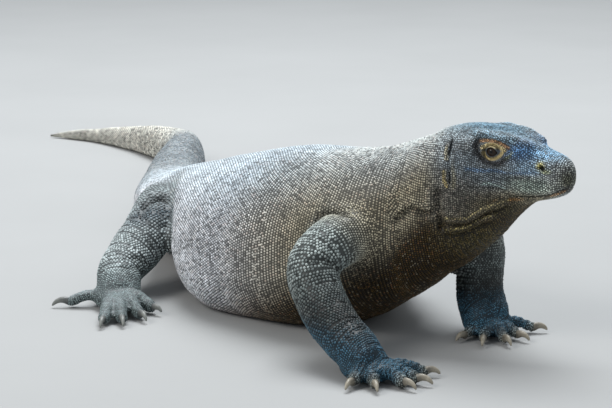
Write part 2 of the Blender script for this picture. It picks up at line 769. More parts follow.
@dataclass
class Skin:
    """One skin over the whole body, with its folds."""

    trunk: Trunk
    head: Head
    legs: list[Leg]
    eye: Eye
    fine: float = 0.0026
    coarse: float = 0.0088
    throat_step: float = 8.5
    socket_depth: float = 7.5
    folds: list[Fold] = field(default_factory=list)
    pits: list[Pit] = field(default_factory=list)

    def build(self) -> bpy.types.Object:
        """Builds the skin and returns its object."""
        guide = self.guide()
        skin = remeshed(self.thickened(guide.data.copy()), self.coarse)
        skin.name = skin.data.name = "skin"
        for reach in (1, 2, 3):
            self.refine(skin, reach)
        self.hug(skin, guide)
        bpy.data.objects.remove(guide)
        self.shape(skin.data)
        smooth_faces(skin.data)
        return skin

    def guide(self) -> bpy.types.Object:
        """Fine surface round all shells, with the joins between them rounded off."""
        shells = Shells()
        self.trunk.add_to(shells)
        self.head.add_to(shells)
        for leg in self.legs:
            leg.add_to(shells)
        guide = remeshed(shells.mesh("shells", SKIN_FLOOR), self.fine)
        co = body_coords(guide.data)
        weight = self.join_weight(co)
        co = relax(guide.data, co, weight * 0.6, 60)
        co = relax(guide.data, co, np.full(len(co), 0.5), 5)
        set_body_coords(guide.data, co)
        return guide

    def thickened(self, mesh: bpy.types.Mesh) -> bpy.types.Mesh:
        """The guide with a thicker end of the tail, for the coarse first surface."""
        co = coords(mesh)
        run, _, _ = self.trunk.unwrap(co / MM - SHIFT)
        more = 0.0055 * smooth(self.trunk.run[-1] - 420, self.trunk.run[-1] - 90, run)
        set_coords(mesh, co + normals(mesh) * more[:, None])
        return mesh

    def join_weight(self, co: Array) -> Array:
        """Where the joins between shells are rounded off, 0 to 1.

        Args:
            co: Points in millimetres.

        Returns:
            One weight for each point.
        """
        weight = np.zeros(len(co))
        for leg in self.legs:
            line = leg.line()
            for at, reach in ((12, 92), (21, 78)):
                gap = np.linalg.norm(co - line[at, :3], axis=1)
                weight = np.maximum(weight, 1 - smooth(reach * 0.55, reach, gap))
            x, y, _, _, high = leg.palm
            gap = np.linalg.norm(co - np.array([x, y, high + 6]), axis=1)
            weight = np.maximum(weight, 0.75 * (1 - smooth(30, 62, gap)))
        local = self.head.local(co)
        on_head = smooth(-60, -20, local[:, 0]) * (np.abs(local[:, 1]) < 110)
        brow = smooth(84, 104, local[:, 0]) * (1 - smooth(150, 172, local[:, 0]))
        brow = brow * smooth(312, 326, co[:, 2])
        return np.maximum(weight, (0.14 + 0.5 * brow) * on_head)

    def refine(self, skin: bpy.types.Object, level: int) -> None:
        """Splits faces where detail is needed: 1 and 2 head and feet, 3 openings and lips.

        Args:
            skin: The skin, which gets a new mesh.
            level: The round of splitting.
        """
        mesh = skin.data
        co = coords(mesh)
        faces = [list(p.vertices) for p in mesh.polygons]
        middle = np.array([co[f].mean(0) for f in faces]) / MM - SHIFT
        near = self.needs_detail(middle, level).tolist()
        added: list[Array] = []
        halves: dict[tuple[int, int], int] = {}
        made: list[list[int]] = []
        for corners, split in zip(faces, near):
            if not split:
                continue
            hub = len(co) + len(added)
            added.append(co[corners].mean(0))
            mids = []
            for a, b in zip(corners, corners[1:] + corners[:1]):
                key = (a, b) if a < b else (b, a)
                if key not in halves:
                    halves[key] = len(co) + len(added)
                    added.append((co[a] + co[b]) / 2)
                mids.append(halves[key])
            made += [[hub, mids[k - 1], corners[k], mids[k]] for k in range(len(corners))]
        for corners, split in zip(faces, near):
            if split:
                continue
            loop = []
            for a, b in zip(corners, corners[1:] + corners[:1]):
                loop.append(a)
                half = halves.get((a, b) if a < b else (b, a))
                if half is not None:
                    loop.append(half)
            made.append(loop)
        finer = bpy.data.meshes.new("skin")
        finer.from_pydata(np.vstack([co, np.array(added)]).tolist(), [], made)
        skin.data = finer

    def needs_detail(self, middle: Array, level: int) -> Array:
        """Whether the face at each place is split in a round of splitting.

        Args:
            middle: Middles of the faces, in millimetres.
            level: The round of splitting.

        Returns:
            One flag for each face.
        """
        local = self.head.local(middle)
        if level < 3:
            start = -95 if level == 1 else -16
            near = (local[:, 0] > start) & (np.abs(local[:, 1]) < 120) & (middle[:, 2] > 150)
            for leg in self.legs:
                near |= (leg.palm_gap(middle) < 165) & (middle[:, 2] < 44) & self.outside_trunk(middle)
            return near
        near = (self.head.lip_gap(local) < 5) & (local[:, 0] > 30)
        ear = (np.abs(local[:, 0] - 19) < 11) & (np.abs(local[:, 2] - 304) < 40)
        for side in (1, -1):
            nostril = np.array([168, side * 28, 309])
            near |= np.linalg.norm(local - self.eye.centre(side), axis=1) < 22
            near |= np.linalg.norm(local - nostril, axis=1) < 13
            near |= ear & (local[:, 1] * side > 40)
        return near

    def outside_trunk(self, co: Array) -> Array:
        """Whether points are well clear of the trunk's outline seen from above."""
        _, _, near = self.trunk.unwrap(co)
        row = self.trunk.rows[near]
        gap = np.hypot(co[:, 0] - row[:, 0], co[:, 1] - row[:, 1])
        return gap > row[:, 4] * 0.9

    def hug(self, skin: bpy.types.Object, guide: bpy.types.Object) -> None:
        """Lays the skin on the guide surface."""
        wrap = skin.modifiers.new("hug", "SHRINKWRAP")
        wrap.target = guide
        wrap.wrap_method = "NEAREST_SURFACEPOINT"
        graph = bpy.context.evaluated_depsgraph_get()
        made = bpy.data.meshes.new_from_object(skin.evaluated_get(graph))
        skin.modifiers.clear()
        skin.data = made
        made.name = "skin"

    def shape(self, mesh: bpy.types.Mesh) -> None:
        """Adds folds, creases, openings and soft unevenness to the skin."""
        co = body_coords(mesh)
        way = normals(mesh)
        local = self.head.local(co)
        lift = np.zeros(len(co))
        trees = {Axes.HEAD: lookup(local), Axes.BODY: lookup(co)}
        for fold in self.folds:
            fold.lay(trees[fold.axes])
            lift += fold.height * fold.share(local if fold.axes is Axes.HEAD else co)
        for pit in self.pits:
            lift += pit.lift(local)
        throat = smooth(-4, 14, local[:, 0]) * (1 - smooth(80, 110, local[:, 0]))
        throat = throat * (1 - smooth(188, 204, co[:, 2]))
        phase = local[:, 0] * 2 * math.pi / self.throat_step + waves(co, 60, 9) * 1.6
        lift += throat * 0.9 * np.sin(phase)
        body = 1 - smooth(-30, 20, local[:, 0])
        free = smooth(4, 30, co[:, 2])
        lift += free * body * (waves(co, 150, 3) * 1.6 + waves(co, 46, 5) * 0.7)
        co += way * lift[:, None]
        for side in (1, -1):
            self.socket(co, local, side)
        set_body_coords(mesh, co)

    def socket(self, co: Array, local: Array, side: int) -> None:
        """Sinks the skin under an eye's lids.

        Args:
            co: Points to move, in millimetres.
            local: The same points in the head's axes.
            side: 1 for left and -1 for right.
        """
        height, around = self.eye.offset(local, side)
        near = (around < self.eye.lid_reach) & (height > -6)
        sink = (1 - smooth(self.eye.radius * 0.9, self.eye.lid_reach - 1.0, around)) * self.socket_depth
        co += np.where(near, sink, 0)[:, None] * self.head.turned(-self.eye.look(side))


# ---- colour zones ----------------------------------------------------------------------
def linear(red: int, green: int, blue: int) -> Array:
    """Linear colour from display values of 0 to 255."""
    c = np.array([red, green, blue]) / 255
    return np.where(c <= 0.04045, c / 12.92, ((c + 0.055) / 1.055) ** 2.4)


@dataclass(frozen=True)
class Patch:
    """A soft-edged zone of colour: its middle, its reach along each axis and its strength."""

    colour: tuple[int, int, int]
    place: tuple[float, float, float]
    reach: tuple[float, float, float]
    strength: float = 1.0

    def share(self, co: Array) -> Array:
        """How much of this zone's colour each point takes, 0 to 1."""
        out = np.zeros(len(co))
        for side in (1, -1):
            middle = np.array([self.place[0], self.place[1] * side, self.place[2]])
            gap = ((co - middle) / np.array(self.reach)) ** 2
            out = np.maximum(out, np.exp(-gap.sum(1) ** 1.4))
        return out * self.strength


@dataclass(frozen=True)
class Stripe:
    """A band of colour along a line on both sides of the head."""

    colour: tuple[int, int, int]
    width: float
    points: tuple[tuple[float, float, float], ...]
    strength: float = 0.9
    flat: bool = False

    def share(self, co: Array) -> Array:
        """How much of this stripe's colour each point takes, 0 to 1."""
        out = np.zeros(len(co))
        for side in (1, -1):
            line = bent([(x, y * side, z) for x, y, z in self.points], 4)
            if self.flat:
                mine = np.where(co[:, 1] * side > 20)[0]
                gap, _ = line_distance(co[mine] * [1, 0, 1], line * [1, 0, 1])
                out[mine] = np.exp(-(gap / self.width) ** 4)
                continue
            reach = self.width * 2.5
            near = np.where(((co > line.min(0) - reach) & (co < line.max(0) + reach)).all(1))[0]
            if len(near):
                gap, _ = line_distance(co[near], line)
                out[near] = np.maximum(out[near], np.exp(-(gap / self.width) ** 4))
        return out * self.strength


@dataclass
class Markings:
    """Colours of the hide from snout to tail, shared by skin and scales.

    knee_spot is along and up in the animal's axes, eye_spot in the head's. band_step is the
    distance between the cross bands of the tail, in millimetres.
    """

    trunk: Trunk
    head: Head
    legs: list[Leg]
    folds: list[Fold]
    back: tuple[int, int, int] = (176, 189, 198)
    flank: tuple[int, int, int] = (198, 201, 206)
    under: tuple[int, int, int] = (162, 140, 127)
    neck: tuple[int, int, int] = (166, 158, 136)
    chest: tuple[int, int, int] = (60, 44, 8)
    tail: tuple[int, int, int] = (112, 121, 126)
    tail_end: tuple[int, int, int] = (200, 198, 188)
    fore: tuple[int, int, int] = (146, 156, 154)
    fore_low: tuple[int, int, int] = (36, 45, 46)
    hind: tuple[int, int, int] = (118, 127, 129)
    hind_low: tuple[int, int, int] = (158, 168, 169)
    fore_foot: tuple[int, int, int] = (50, 88, 108)
    hind_foot: tuple[int, int, int] = (108, 121, 122)
    toe_end: tuple[int, int, int] = (150, 144, 124)
    hollow: tuple[int, int, int] = (50, 68, 80)
    knee_spot: tuple[float, float] = (-166.0, 136.0)
    eye_spot: tuple[float, float] = (83.0, 325.0)
    band_step: float = 27.0
    zones: list[Patch | Stripe] = field(default_factory=lambda: [
        Patch((92, 124, 142), (60, 0, 352), (90, 60, 36)),
        Patch((138, 150, 158), (40, 60, 302), (60, 40, 46)),
        Patch((108, 106, 100), (30, 70, 250), (64, 44, 42), 0.9),
        Patch((102, 116, 126), (95, 45, 285), (40, 30, 22), 0.8),
        Patch((96, 146, 198), (128, 28, 328), (32, 26, 17), 0.9),
        Patch((124, 168, 198), (165, 12, 326), (32, 24, 14), 0.9),
        Patch((158, 194, 222), (142, 34, 304), (30, 18, 12), 0.8),
        Patch((164, 180, 170), (142, 32, 276), (42, 18, 14), 0.9),
        Patch((84, 86, 64), (200, 12, 288), (15, 22, 18), 0.9),
        Patch((92, 84, 58), (95, 38, 238), (56, 40, 22), 0.9),
        Patch((80, 72, 42), (50, 40, 182), (70, 60, 36), 0.9),
        Patch((58, 60, 64), (57, 52, 336), (6, 18, 13), 0.85),
        Patch((60, 62, 66), (82, 45, 320), (24, 30, 20), 0.85),
        Patch((122, 128, 130), (44, 60, 331), (10, 12, 9), 0.8),
        Stripe((158, 188, 206), 6.0, ((52, 40, 352), (72, 42, 353), (95, 42, 350), (113, 36, 345))),
        Stripe((44, 44, 48), 3.2, ((59, 50, 340), (60, 52, 328), (66, 52, 316), (76, 51, 309),
               (88, 49, 307), (99, 44, 311), (108, 40, 319)), 0.8, True),
        Stripe((160, 172, 140), 2.0, ((104, 40, 316), (110, 40, 321), (113, 38, 327)), 0.6, True),
        Stripe((234, 214, 158), 3.6, ((68, 48, 332), (76, 49, 336), (86, 46, 336.5), (95, 43, 333.5),
               (101, 41, 329)), 0.95, True),
        Stripe((216, 168, 122), 2.7, ((63, 46, 341.5), (76, 49, 342.5), (88, 47, 342), (98, 43, 338.5),
               (107, 39, 333)), 0.95, True),
        Stripe((230, 206, 146), 2.6, ((69, 50, 324), (73, 51, 318.5), (80, 51, 315), (88, 48, 315.5),
               (95, 45, 320), (98, 44, 325)), 0.9, True),
        Stripe((82, 130, 178), 3.2, ((47, 64, 298), (68, 56, 296), (89, 49, 297), (110, 43, 294),
               (132, 37, 296), (153, 34, 298)), 0.5),
        Stripe((172, 192, 188), 2.6, ((71, 56, 275), (83, 51, 276), (95, 47, 273), (105, 42, 269)), 0.75),
        Stripe((216, 148, 52), 4.2, ((210, 4, 274), (196, 14, 269), (182, 19, 262), (157, 24, 253),
               (140, 28, 251), (126, 33, 251), (113, 38, 251))),
        Stripe((178, 132, 62), 2.6, ((116, 38, 256), (104, 44, 256), (92, 46, 250), (80, 50, 244)), 0.8),
        Stripe((166, 154, 108), 2.0, ((10, 76, 217), (27, 68, 216), (46, 60, 217), (58, 56, 225),
               (70, 52, 234), (84, 46, 240), (99, 40, 247), (113, 37, 252)), 0.8),
        Stripe((156, 144, 96), 2.0, ((11, 71, 198), (28, 64, 199), (47, 56, 205), (62, 51, 216),
               (77, 45, 222), (94, 37, 230)), 0.8),
        Stripe((176, 158, 104), 3.0, ((11, 60, 338), (12, 66, 324), (15, 70, 310)), 0.5),
        Stripe((168, 160, 128), 4.0, ((25, 71, 318), (27, 73, 304), (30, 72, 284), (29, 72, 268)), 0.5),
        Stripe((186, 164, 96), 3.4, ((14, 76, 292), (15, 77, 280), (19, 76, 268)), 0.6),
        *[Patch((44, 50, 56), spot, (3.4, 9, 2.2), 0.7)
          for spot in ((110, 42, 287), (121, 39, 288), (132, 37, 289), (143, 35, 290))],
        Patch((60, 74, 74), (160, 32, 284), (10, 14, 7), 0.5),
        Patch((196, 184, 96), (160, 29, 309), (7.5, 10, 6.5), 0.95),
        Patch((190, 196, 150), (169, 29, 301), (8, 8, 4.0), 0.85),
        Patch((20, 20, 18), (163, 29, 305.5), (5.2, 9, 3.9), 0.95),
    ])

    def paint(self, co: Array) -> Array:
        """Base colour of the hide at each point.

        Args:
            co: Points in the animal's axes, in millimetres.

        Returns:
            Linear colours, one row for each point.
        """
        run, angle, nearest = self.trunk.unwrap(co)
        clear = self.trunk.clear(co, nearest)
        rise = np.sin(angle)
        colour = self.mix(self.flank, self.back, smooth(0.25, 0.85, rise))
        colour = self.over(colour, self.under, smooth(0.2, 0.75, -rise))
        front = 1 - smooth(150, 330, run)
        colour = self.over(colour, self.neck, front * (1 - 0.6 * smooth(0.3, 0.95, rise)))
        colour = self.over(colour, self.chest, (1 - smooth(170, 380, run)) * smooth(0.05, 0.62, -rise))
        colour = self.over(colour, self.tail, smooth(760, 1050, run))
        colour = self.over(colour, self.tail_end, smooth(1480, 1760, run))
        bands = 1 + 0.13 * smooth(1150, 1350, run) * np.sin(run * 2 * math.pi / self.band_step)
        colour = colour * bands[:, None]
        for leg in self.legs:
            gap, near = leg.limb_gap(co)
            on_limb = (1 - smooth(1.15, 1.6, gap)) * smooth(4, 24, near)
            front = leg.is_front
            colour = self.over(colour, self.fore if front else self.hind, on_limb)
            low = self.fore_low if front else self.hind_low
            colour = self.over(colour, low, on_limb * smooth(24, 62, near))
            if leg.name == "hind_right":
                x, z = self.knee_spot
                knee = np.exp(-((co[:, 0] - x) / 24) ** 2 - ((co[:, 2] - z) / 15) ** 2)
                colour = self.over(colour, self.hollow, knee * smooth(-132, -152, co[:, 1]) * 0.9)
            reach = leg.palm_gap(co)
            on_hand = (1 - smooth(130, 170, reach)) * (1 - smooth(40, 90, co[:, 2])) * (co[:, 2] < 100)
            low = on_hand * (gap < 1.5) + on_hand * (co[:, 2] < 46)
            foot = self.fore_foot if front else self.hind_foot
            colour = self.over(colour, foot, np.clip(low, 0, 1) * clear)
            for toe in leg.toes if front else ():
                tip = leg.palm_spot() + toe.way() * toe.length
                gap = np.linalg.norm((co - tip) * [1, 1, 0.6], axis=1)
                colour = self.over(colour, self.toe_end, 0.6 * np.exp(-(gap / 17) ** 3))
        local = self.head.local(co)
        on_head = smooth(-40, 5, local[:, 0])
        for zone in self.zones:
            colour = self.over(colour, zone.colour, zone.share(local) * on_head)
        mottle = 1 + on_head * (0.20 * waves(co, 20, 31) + 0.14 * waves(co, 8, 32))
        reach = np.hypot(local[:, 0] - self.eye_spot[0], local[:, 2] - self.eye_spot[1])
        mottle += on_head * 0.34 * waves(co, 5, 33) * (1 - smooth(18, 26, reach))
        colour = colour * np.clip(mottle, 0.35, 1.7)[:, None]
        relief = np.zeros(len(co))
        for fold in self.folds:
            relief += fold.height / 5 * fold.share(local if fold.axes is Axes.HEAD else co)
        return colour * np.interp(relief, [-1, 0, 1], [0.22, 1.0, 1.35])[:, None]

    def dust(self, co: Array) -> Array:
        """How dusty the hide may be: the back, the tail and the thighs, not the head or the arms."""
        run, _, _ = self.trunk.unwrap(co)
        out = smooth(200, 620, run) * (1 - 0.75 * smooth(850, 1150, run))
        for leg in self.legs:
            gap, spot = leg.limb_gap(co)
            share = 1.0 if leg.is_front else 0.5
            out = out * (1 - share * (1 - smooth(1.15, 1.6, gap)) * smooth(4, 24, spot))
        return out

    @staticmethod
    def over(colour: Array, paint: tuple[int, int, int], share: Array) -> Array:
        """Colour with a share of paint laid over it."""
        return colour + (linear(*paint) - colour) * np.clip(share, 0, 1)[:, None]

    @staticmethod
    def mix(first: tuple[int, int, int], second: tuple[int, int, int], share: Array) -> Array:
        """Mix of two colours by a share for each point."""
        return linear(*first) + (linear(*second) - linear(*first)) * share[:, None]


def add_colour(mesh: bpy.types.Mesh, colour: Array) -> None:
    """Stores the hide colour on a mesh's points."""
    layer = mesh.color_attributes.new("hide", "FLOAT_COLOR", "POINT")
    full = np.column_stack([colour, np.ones(len(colour))])
    layer.data.foreach_set("color", full.astype(np.float32).ravel())


def add_value(mesh: bpy.types.Mesh, name: str, value: Array) -> None:
    """Stores one number for each point of a mesh."""
    layer = mesh.attributes.new(name, "FLOAT", "POINT")
    layer.data.foreach_set("value", value.astype(np.float32))


# ---- coat ------------------------------------------------------------------------------
@dataclass
class Chart:
    """A part of the body that the scales follow in rows, with its place on the unwrap."""

    name: str
    line: Array
    low: float = 0.0
    high: float = 1.0

    def __post_init__(self) -> None:
        """Measures the line and the directions across it."""
        self.run = run_along(self.line[:, :3])
        self.along, self.across, self.third = carried_axes(self.line)

    def outside(self, co: Array) -> tuple[Array, Array, Array]:
        """Height of points over the part, the nearest sample and the angle round it."""
        near = nearest_sample(self.line[:, :3], co)
        gap = co - self.line[near, :3]
        a = (gap * self.across[near]).sum(1)
        b = (gap * self.third[near]).sum(1)
        thick = (self.line[near, 3] + self.line[near, 4]) / 2
        return np.linalg.norm(gap, axis=1) - thick, near, np.arctan2(b, a)


@dataclass
class Scales:
    """Bead scales in rows over the skin, filled in where rows meet, and smaller on the face.

    Spacings and depths are in millimetres. Neighbours are no closer than limit times their
    spacing, or wide_limit where it is over wide_from. openings holds, for the nostril and the two ear
    slits, the place along and up, the half sizes, and how far out they start.
    """

    trunk: Trunk
    head: Head
    legs: list[Leg]
    eye: Eye
    markings: Markings
    piece_limit: int = 11500
    sides: int = 6
    patch: float = 0.003
    limb_spacing: float = 6.0
    foot_spacing: float = 3.4
    head_spacing: float = 3.5
    lid_spacing: float = 1.7
    row_step: float = 0.87
    limit: float = 0.74
    wide_limit: float = 0.70
    wide_from: float = 5.6
    cell: float = 6.2
    fill_count: int = 400000
    lid_count: int = 6000
    root_depth: float = 0.35
    crown_share: float = 0.64
    lean: float = 0.06
    floor: float = 0.15
    openings: tuple[tuple[float, ...], ...] = (
        (163, 305.5, 5.2, 4.2, 12), (17, 327, 2.8, 13, 40), (22, 281, 3.0, 11, 40))

    def spacing(self, co: Array) -> Array:
        """Distance between neighbouring scales at each point, in millimetres.

        Args:
            co: Points in the animal's axes.

        Returns:
            One distance for each point.
        """
        run, _, near = self.trunk.unwrap(co)
        clear = self.trunk.clear(co, near)
        size = np.interp(run, [0, 120, 300, 700, 1100, 1900, 2350], [4.0, 4.3, 4.8, 4.9, 5.4, 5.0, 3.2])
        for leg in self.legs:
            gap, spot = leg.limb_gap(co)
            size = size + (self.limb_spacing - size) * (1 - smooth(1.1, 1.4, gap)) * smooth(14, 26, spot)
            foot = (1 - smooth(120, 170, leg.palm_gap(co))) * (1 - smooth(30, 80, co[:, 2])) * clear
            size = size + (self.foot_spacing - size) * foot
        local = self.head.local(co)
        on_head = smooth(-30, 30, local[:, 0])
        size = size + (self.head_spacing - size) * on_head
        for side in (1, -1):
            gap = np.linalg.norm(local - self.eye.centre(side), axis=1)
            size = np.where(gap < 34, np.minimum(size, 2.3 + 1.0 * smooth(18, 34, gap)), size)
        return size

    def make_charts(self) -> list[Chart]:
        """Charts of the trunk, the head and each leg's limb and toes."""
        rows = self.trunk.rows[::2]
        level = rows[:, 2] + (rows[:, 3] - rows[:, 2]) * rows[:, 5]
        half = (rows[:, 3] - rows[:, 2]) / 2
        charts = [Chart("body", np.column_stack([rows[:, :2], level, rows[:, 4], half]))]
        for leg in self.legs:
            charts.append(Chart(leg.name, leg.line(), low=0.0, high=0.48))
            for k, toe in enumerate(leg.toes):
                low = 0.5 + 0.1 * k
                charts.append(Chart(leg.name, toe.line(leg.palm_spot()), low=low, high=low + 0.09))
        return charts

    def lattice(self) -> list[tuple[int, Array, Array]]:
        """Roots in rows before they are laid on the skin.

        Returns:
            For each chart its number, the places and the outward directions.
        """
        out = []
        for number, chart in enumerate(self.charts):
            places, ways = [], []
            run, odd = 0.0, 0
            while run < chart.run[-1]:
                ring, step = self.chart_ring(chart, number, run)
                closed = np.vstack([ring, ring[:1]])
                arc = run_along(closed)
                half = arc[-1] / 2
                spots = np.arange(0, half - step * 0.4, step) + (step / 2 if odd else 0)
                spots = np.concatenate([spots, arc[-1] - spots[(0 if odd else 1):]])
                spots = spots[spots < arc[-1]]
                points = np.column_stack([np.interp(spots, arc, closed[:, k]) for k in range(3)])
                places.append(points)
                ways.append(points - ring.mean(0))
                run += step * self.row_step
                odd = 1 - odd
            out.append((number, np.vstack(places), np.vstack(ways)))
        return out

    def head_rows(self) -> tuple[Array, Array]:
        """Places in rows round the head, and their directions from its middle."""
        rng = np.random.default_rng(23)
        places, ways = [], []
        along, odd = -16.0, 0
        while along < 203:
            t = np.interp(along, self.head.sections[:, 0], np.arange(len(self.head.sections)))
            row = between(self.head.sections, t).copy()
            row[:2] = self.head.world(np.array([row[0], 0.0, 0.0]))[:2]
            ring = upright_ring(row, self.head.turn, 160, self.head.fullness, COAT_DEPTH)
            step = float(np.median(self.spacing(ring[30:50])))
            closed = np.vstack([ring, ring[:1]])
            arc = run_along(closed)
            spots = np.arange(odd * step / 2, arc[-1], step)
            points = np.column_stack([np.interp(spots, arc, closed[:, k]) for k in range(3)])
            points += rng.normal(scale=step * 0.09, size=points.shape)
            places.append(points)
            ways.append(points - ring.mean(0))
            along += step * self.row_step
            odd = 1 - odd
        return np.vstack(places), np.vstack(ways)

    def chart_ring(self, chart: Chart, number: int, run: float) -> tuple[Array, float]:
        """Ring of a chart that starts at the middle of its top, and the scale spacing there."""
        if number == 0:
            ring = self.trunk.ring(run, 160, COAT_DEPTH)
            ring = np.roll(ring, -40, axis=0)
        else:
            k = int(np.interp(run, chart.run, np.arange(len(chart.run))))
            row = chart.line[k]
            angle = turns(64)
            ring = row[:3] + np.outer(np.cos(angle) * row[3], chart.across[k])
            ring = ring + np.outer(np.sin(angle) * row[4], chart.third[k])
            ring = np.roll(ring, -int(ring[:, 2].argmax()), axis=0)
        size = float(np.median(self.spacing(ring[:12])))
        return ring, size

    def grow(self, skin: bpy.types.Object, lids: list[bpy.types.Object]) -> list[bpy.types.Object]:
        """Builds the whole coat.

        Args:
            skin: The finished skin.
            lids: The lids, which carry fine granules.

        Returns:
            The coat's pieces.
        """
        self.charts = self.make_charts()
        mesh = skin.data
        co = body_coords(mesh)
        way = normals(mesh)
        corner = corners_of(mesh)
        surface = BVHTree.FromPolygons(co.tolist(), corner)
        face_way = np.array([way[list(c)].mean(0) for c in corner])
        roots, ways = [], []
        for number, places, outward in self.lattice():
            outward /= np.linalg.norm(outward, axis=1)[:, None]
            by_ray = (self.head.local(places)[:, 0] < -20) & (number == 0 or number % 6 == 1)
            for point, out, cast in zip(places, outward, by_ray.tolist()):
                if cast:
                    hit, _, index, _ = surface.ray_cast(point + out * 12, -out, 26)
                else:
                    hit, _, index, _ = surface.find_nearest(point, 5.0)
                if hit is not None and face_way[index] @ out > (0.3 if cast else 0.0):
                    roots.append(hit[:])
                    ways.append(face_way[index])
        for point, out in zip(*self.head_rows()):
            out = out / np.linalg.norm(out)
            hit, _, index, _ = surface.ray_cast(point + out * 30, -out, 45)
            if hit is not None and face_way[index] @ out > 0.25:
                roots.append(hit[:])
                ways.append(face_way[index])
        fill, fill_way = self.scatter(mesh, co, corner, face_way)
        roots = np.vstack([np.array(roots), fill])
        ways = np.vstack([np.array(ways), fill_way])
        ways /= np.linalg.norm(ways, axis=1)[:, None]
        size = self.spacing(roots)
        keep = self.open_skin(roots)
        roots, ways, size = roots[keep], ways[keep], size[keep]
        for lid in lids:
            spots, out = self.on_lid(lid.data)
            roots, ways = np.vstack([roots, spots]), np.vstack([ways, out])
            size = np.concatenate([size, np.full(len(spots), self.lid_spacing)])
        chosen = self.thin_out(roots, size)
        return self.make_pieces(roots[chosen], ways[chosen], size[chosen])

    def on_lid(self, mesh: bpy.types.Mesh) -> tuple[Array, Array]:
        """Random spots on a lid, away from its edge, and the outward direction at each."""
        rng = np.random.default_rng(5)
        co = body_coords(mesh)
        way = normals(mesh)
        corner = np.array(corners_of(mesh))
        area = np.empty(len(corner))
        mesh.polygons.foreach_get("area", area)
        free = np.empty(len(co))
        mesh.attributes["free"].data.foreach_get("value", free)
        area = area * (free[corner].mean(1) > 0.2)
        pick = rng.choice(len(corner), self.lid_count, p=area / area.sum())
        share = rng.dirichlet(np.ones(4), len(pick))
        return (co[corner[pick]] * share[..., None]).sum(1), way[corner[pick]].mean(1)

    def scatter(self, mesh: bpy.types.Mesh, co: Array, corner: list, face_way: Array) -> tuple[Array, Array]:
        """Random spots all over the skin, in a fixed order."""
        rng = np.random.default_rng(11)
        area = np.empty(len(corner))
        mesh.polygons.foreach_get("area", area)
        middle = np.array([co[list(c)].mean(0) for c in corner])
        want = area / MM ** 2 / self.spacing(middle) ** 2
        pick = rng.choice(len(corner), self.fill_count, p=want / want.sum())
        first = co[[c[0] for c in corner]][pick]
        third = co[[c[2] for c in corner]][pick]
        other = co[[c[1] if i % 2 else c[-1] for i, c in enumerate(corner)]][pick]
        a, b = rng.random((2, len(pick), 1))
        flip = a + b > 1
        a, b = np.where(flip, 1 - a, a), np.where(flip, 1 - b, b)
        return first + a * (third - first) + b * (other - first), face_way[pick]

    def open_skin(self, co: Array) -> Array:
        """Where scales may grow: not under the lids or inside openings."""
        local = self.head.local(co)
        keep = ~((self.head.lip_gap(local) < 0.9) & (local[:, 0] > 36))
        for side in (1, -1):
            height, around = self.eye.offset(local, side)
            keep &= ~((around < self.eye.lid_reach - 1.5) & (height > -6))
            for along, level, long, high, out in self.openings:
                inside = np.hypot((local[:, 0] - along) / long, (local[:, 2] - level) / high) < 1
                keep &= ~(inside & (local[:, 1] * side > out))
        return keep

    def thin_out(self, co: Array, size: Array) -> Array:
        """Picks spots in order, leaving out any that crowds one already picked.

        Args:
            co: Spots, the best first.
            size: Spacing at each spot.

        Returns:
            Numbers of the picked spots.
        """
        grid: dict[tuple[int, int, int], list[tuple[float, float, float]]] = {}
        chosen = []
        keys = np.floor(co / self.cell).astype(int).tolist()
        for i, ((x, y, z), (a, b, c), d) in enumerate(zip(co.tolist(), keys, size.tolist())):
            limit = ((self.wide_limit if d > self.wide_from else self.limit) * d) ** 2
            near = (spot for da in (a, a - 1, a + 1) for db in (b, b - 1, b + 1)
                    for dc in (c, c - 1, c + 1) for spot in grid.get((da, db, dc), ()))
            if not any((px - x) ** 2 + (py - y) ** 2 + (pz - z) ** 2 < limit for px, py, pz in near):
                grid.setdefault((a, b, c), []).append((x, y, z))
                chosen.append(i)
        return np.array(chosen)

    def make_pieces(self, roots: Array, ways: Array, size: Array) -> list[bpy.types.Object]:
        """Sorts the scales into pieces by body part and builds each piece."""
        part = np.zeros(len(roots), int)
        near_all = np.zeros(len(roots), int)
        angle_all = np.zeros(len(roots))
        run, turn, near = self.trunk.unwrap(roots)
        head_way = self.trunk.heading[near]
        best = self.trunk.outside(roots, near)
        for number, chart in enumerate(self.charts[1:], 1):
            high, spot, angle = chart.outside(roots)
            closer = high < best
            best = np.where(closer, high, best)
            part = np.where(closer, number, part)
            near_all = np.where(closer, spot, near_all)
            angle_all = np.where(closer, angle, angle_all)
        local = self.head.local(roots)
        on_head = (local[:, 0] > -8) & (np.abs(local[:, 1]) < 105) & (part == 0)
        along = np.column_stack([-np.cos(head_way), -np.sin(head_way), np.zeros(len(roots))])
        unwrap = np.column_stack([run, turn / (2 * math.pi) + 0.5])
        along[on_head] = self.head.turned(np.array([-1.0, 0.0, 0.0]))
        unwrap[on_head, 0] = local[on_head, 0]
        for number, chart in enumerate(self.charts[1:], 1):
            mine = part == number
            along[mine] = chart.along[near_all[mine]]
            length = chart.run[near_all[mine]] / chart.run[-1]
            turned = chart.low + (chart.high - chart.low) * (angle_all[mine] / (2 * math.pi) + 0.5)
            unwrap[mine] = np.column_stack([length, turned])
        groups: dict[str, Array] = {"head": on_head, "body": (part == 0) & ~on_head}
        for number, chart in enumerate(self.charts[1:], 1):
            groups[chart.name] = groups.get(chart.name, np.zeros(len(roots), bool)) | (part == number)
        pieces = []
        for name, mine in groups.items():
            numbers = np.where(mine)[0]
            numbers = numbers[np.argsort(unwrap[numbers, 0], kind="stable")]
            count = max(1, math.ceil(len(numbers) / self.piece_limit))
            for k, some in enumerate(np.array_split(numbers, count), 1):
                spot = unwrap[some].copy()
                low, high = spot[:, 0].min(), spot[:, 0].max()
                spot[:, 0] = 0.01 + 0.98 * (spot[:, 0] - low) / max(high - low, 1e-6)
                spot[:, 1] = 0.01 + 0.98 * spot[:, 1]
                title = f"scales_{name}_{k}" if count > 1 else f"scales_{name}"
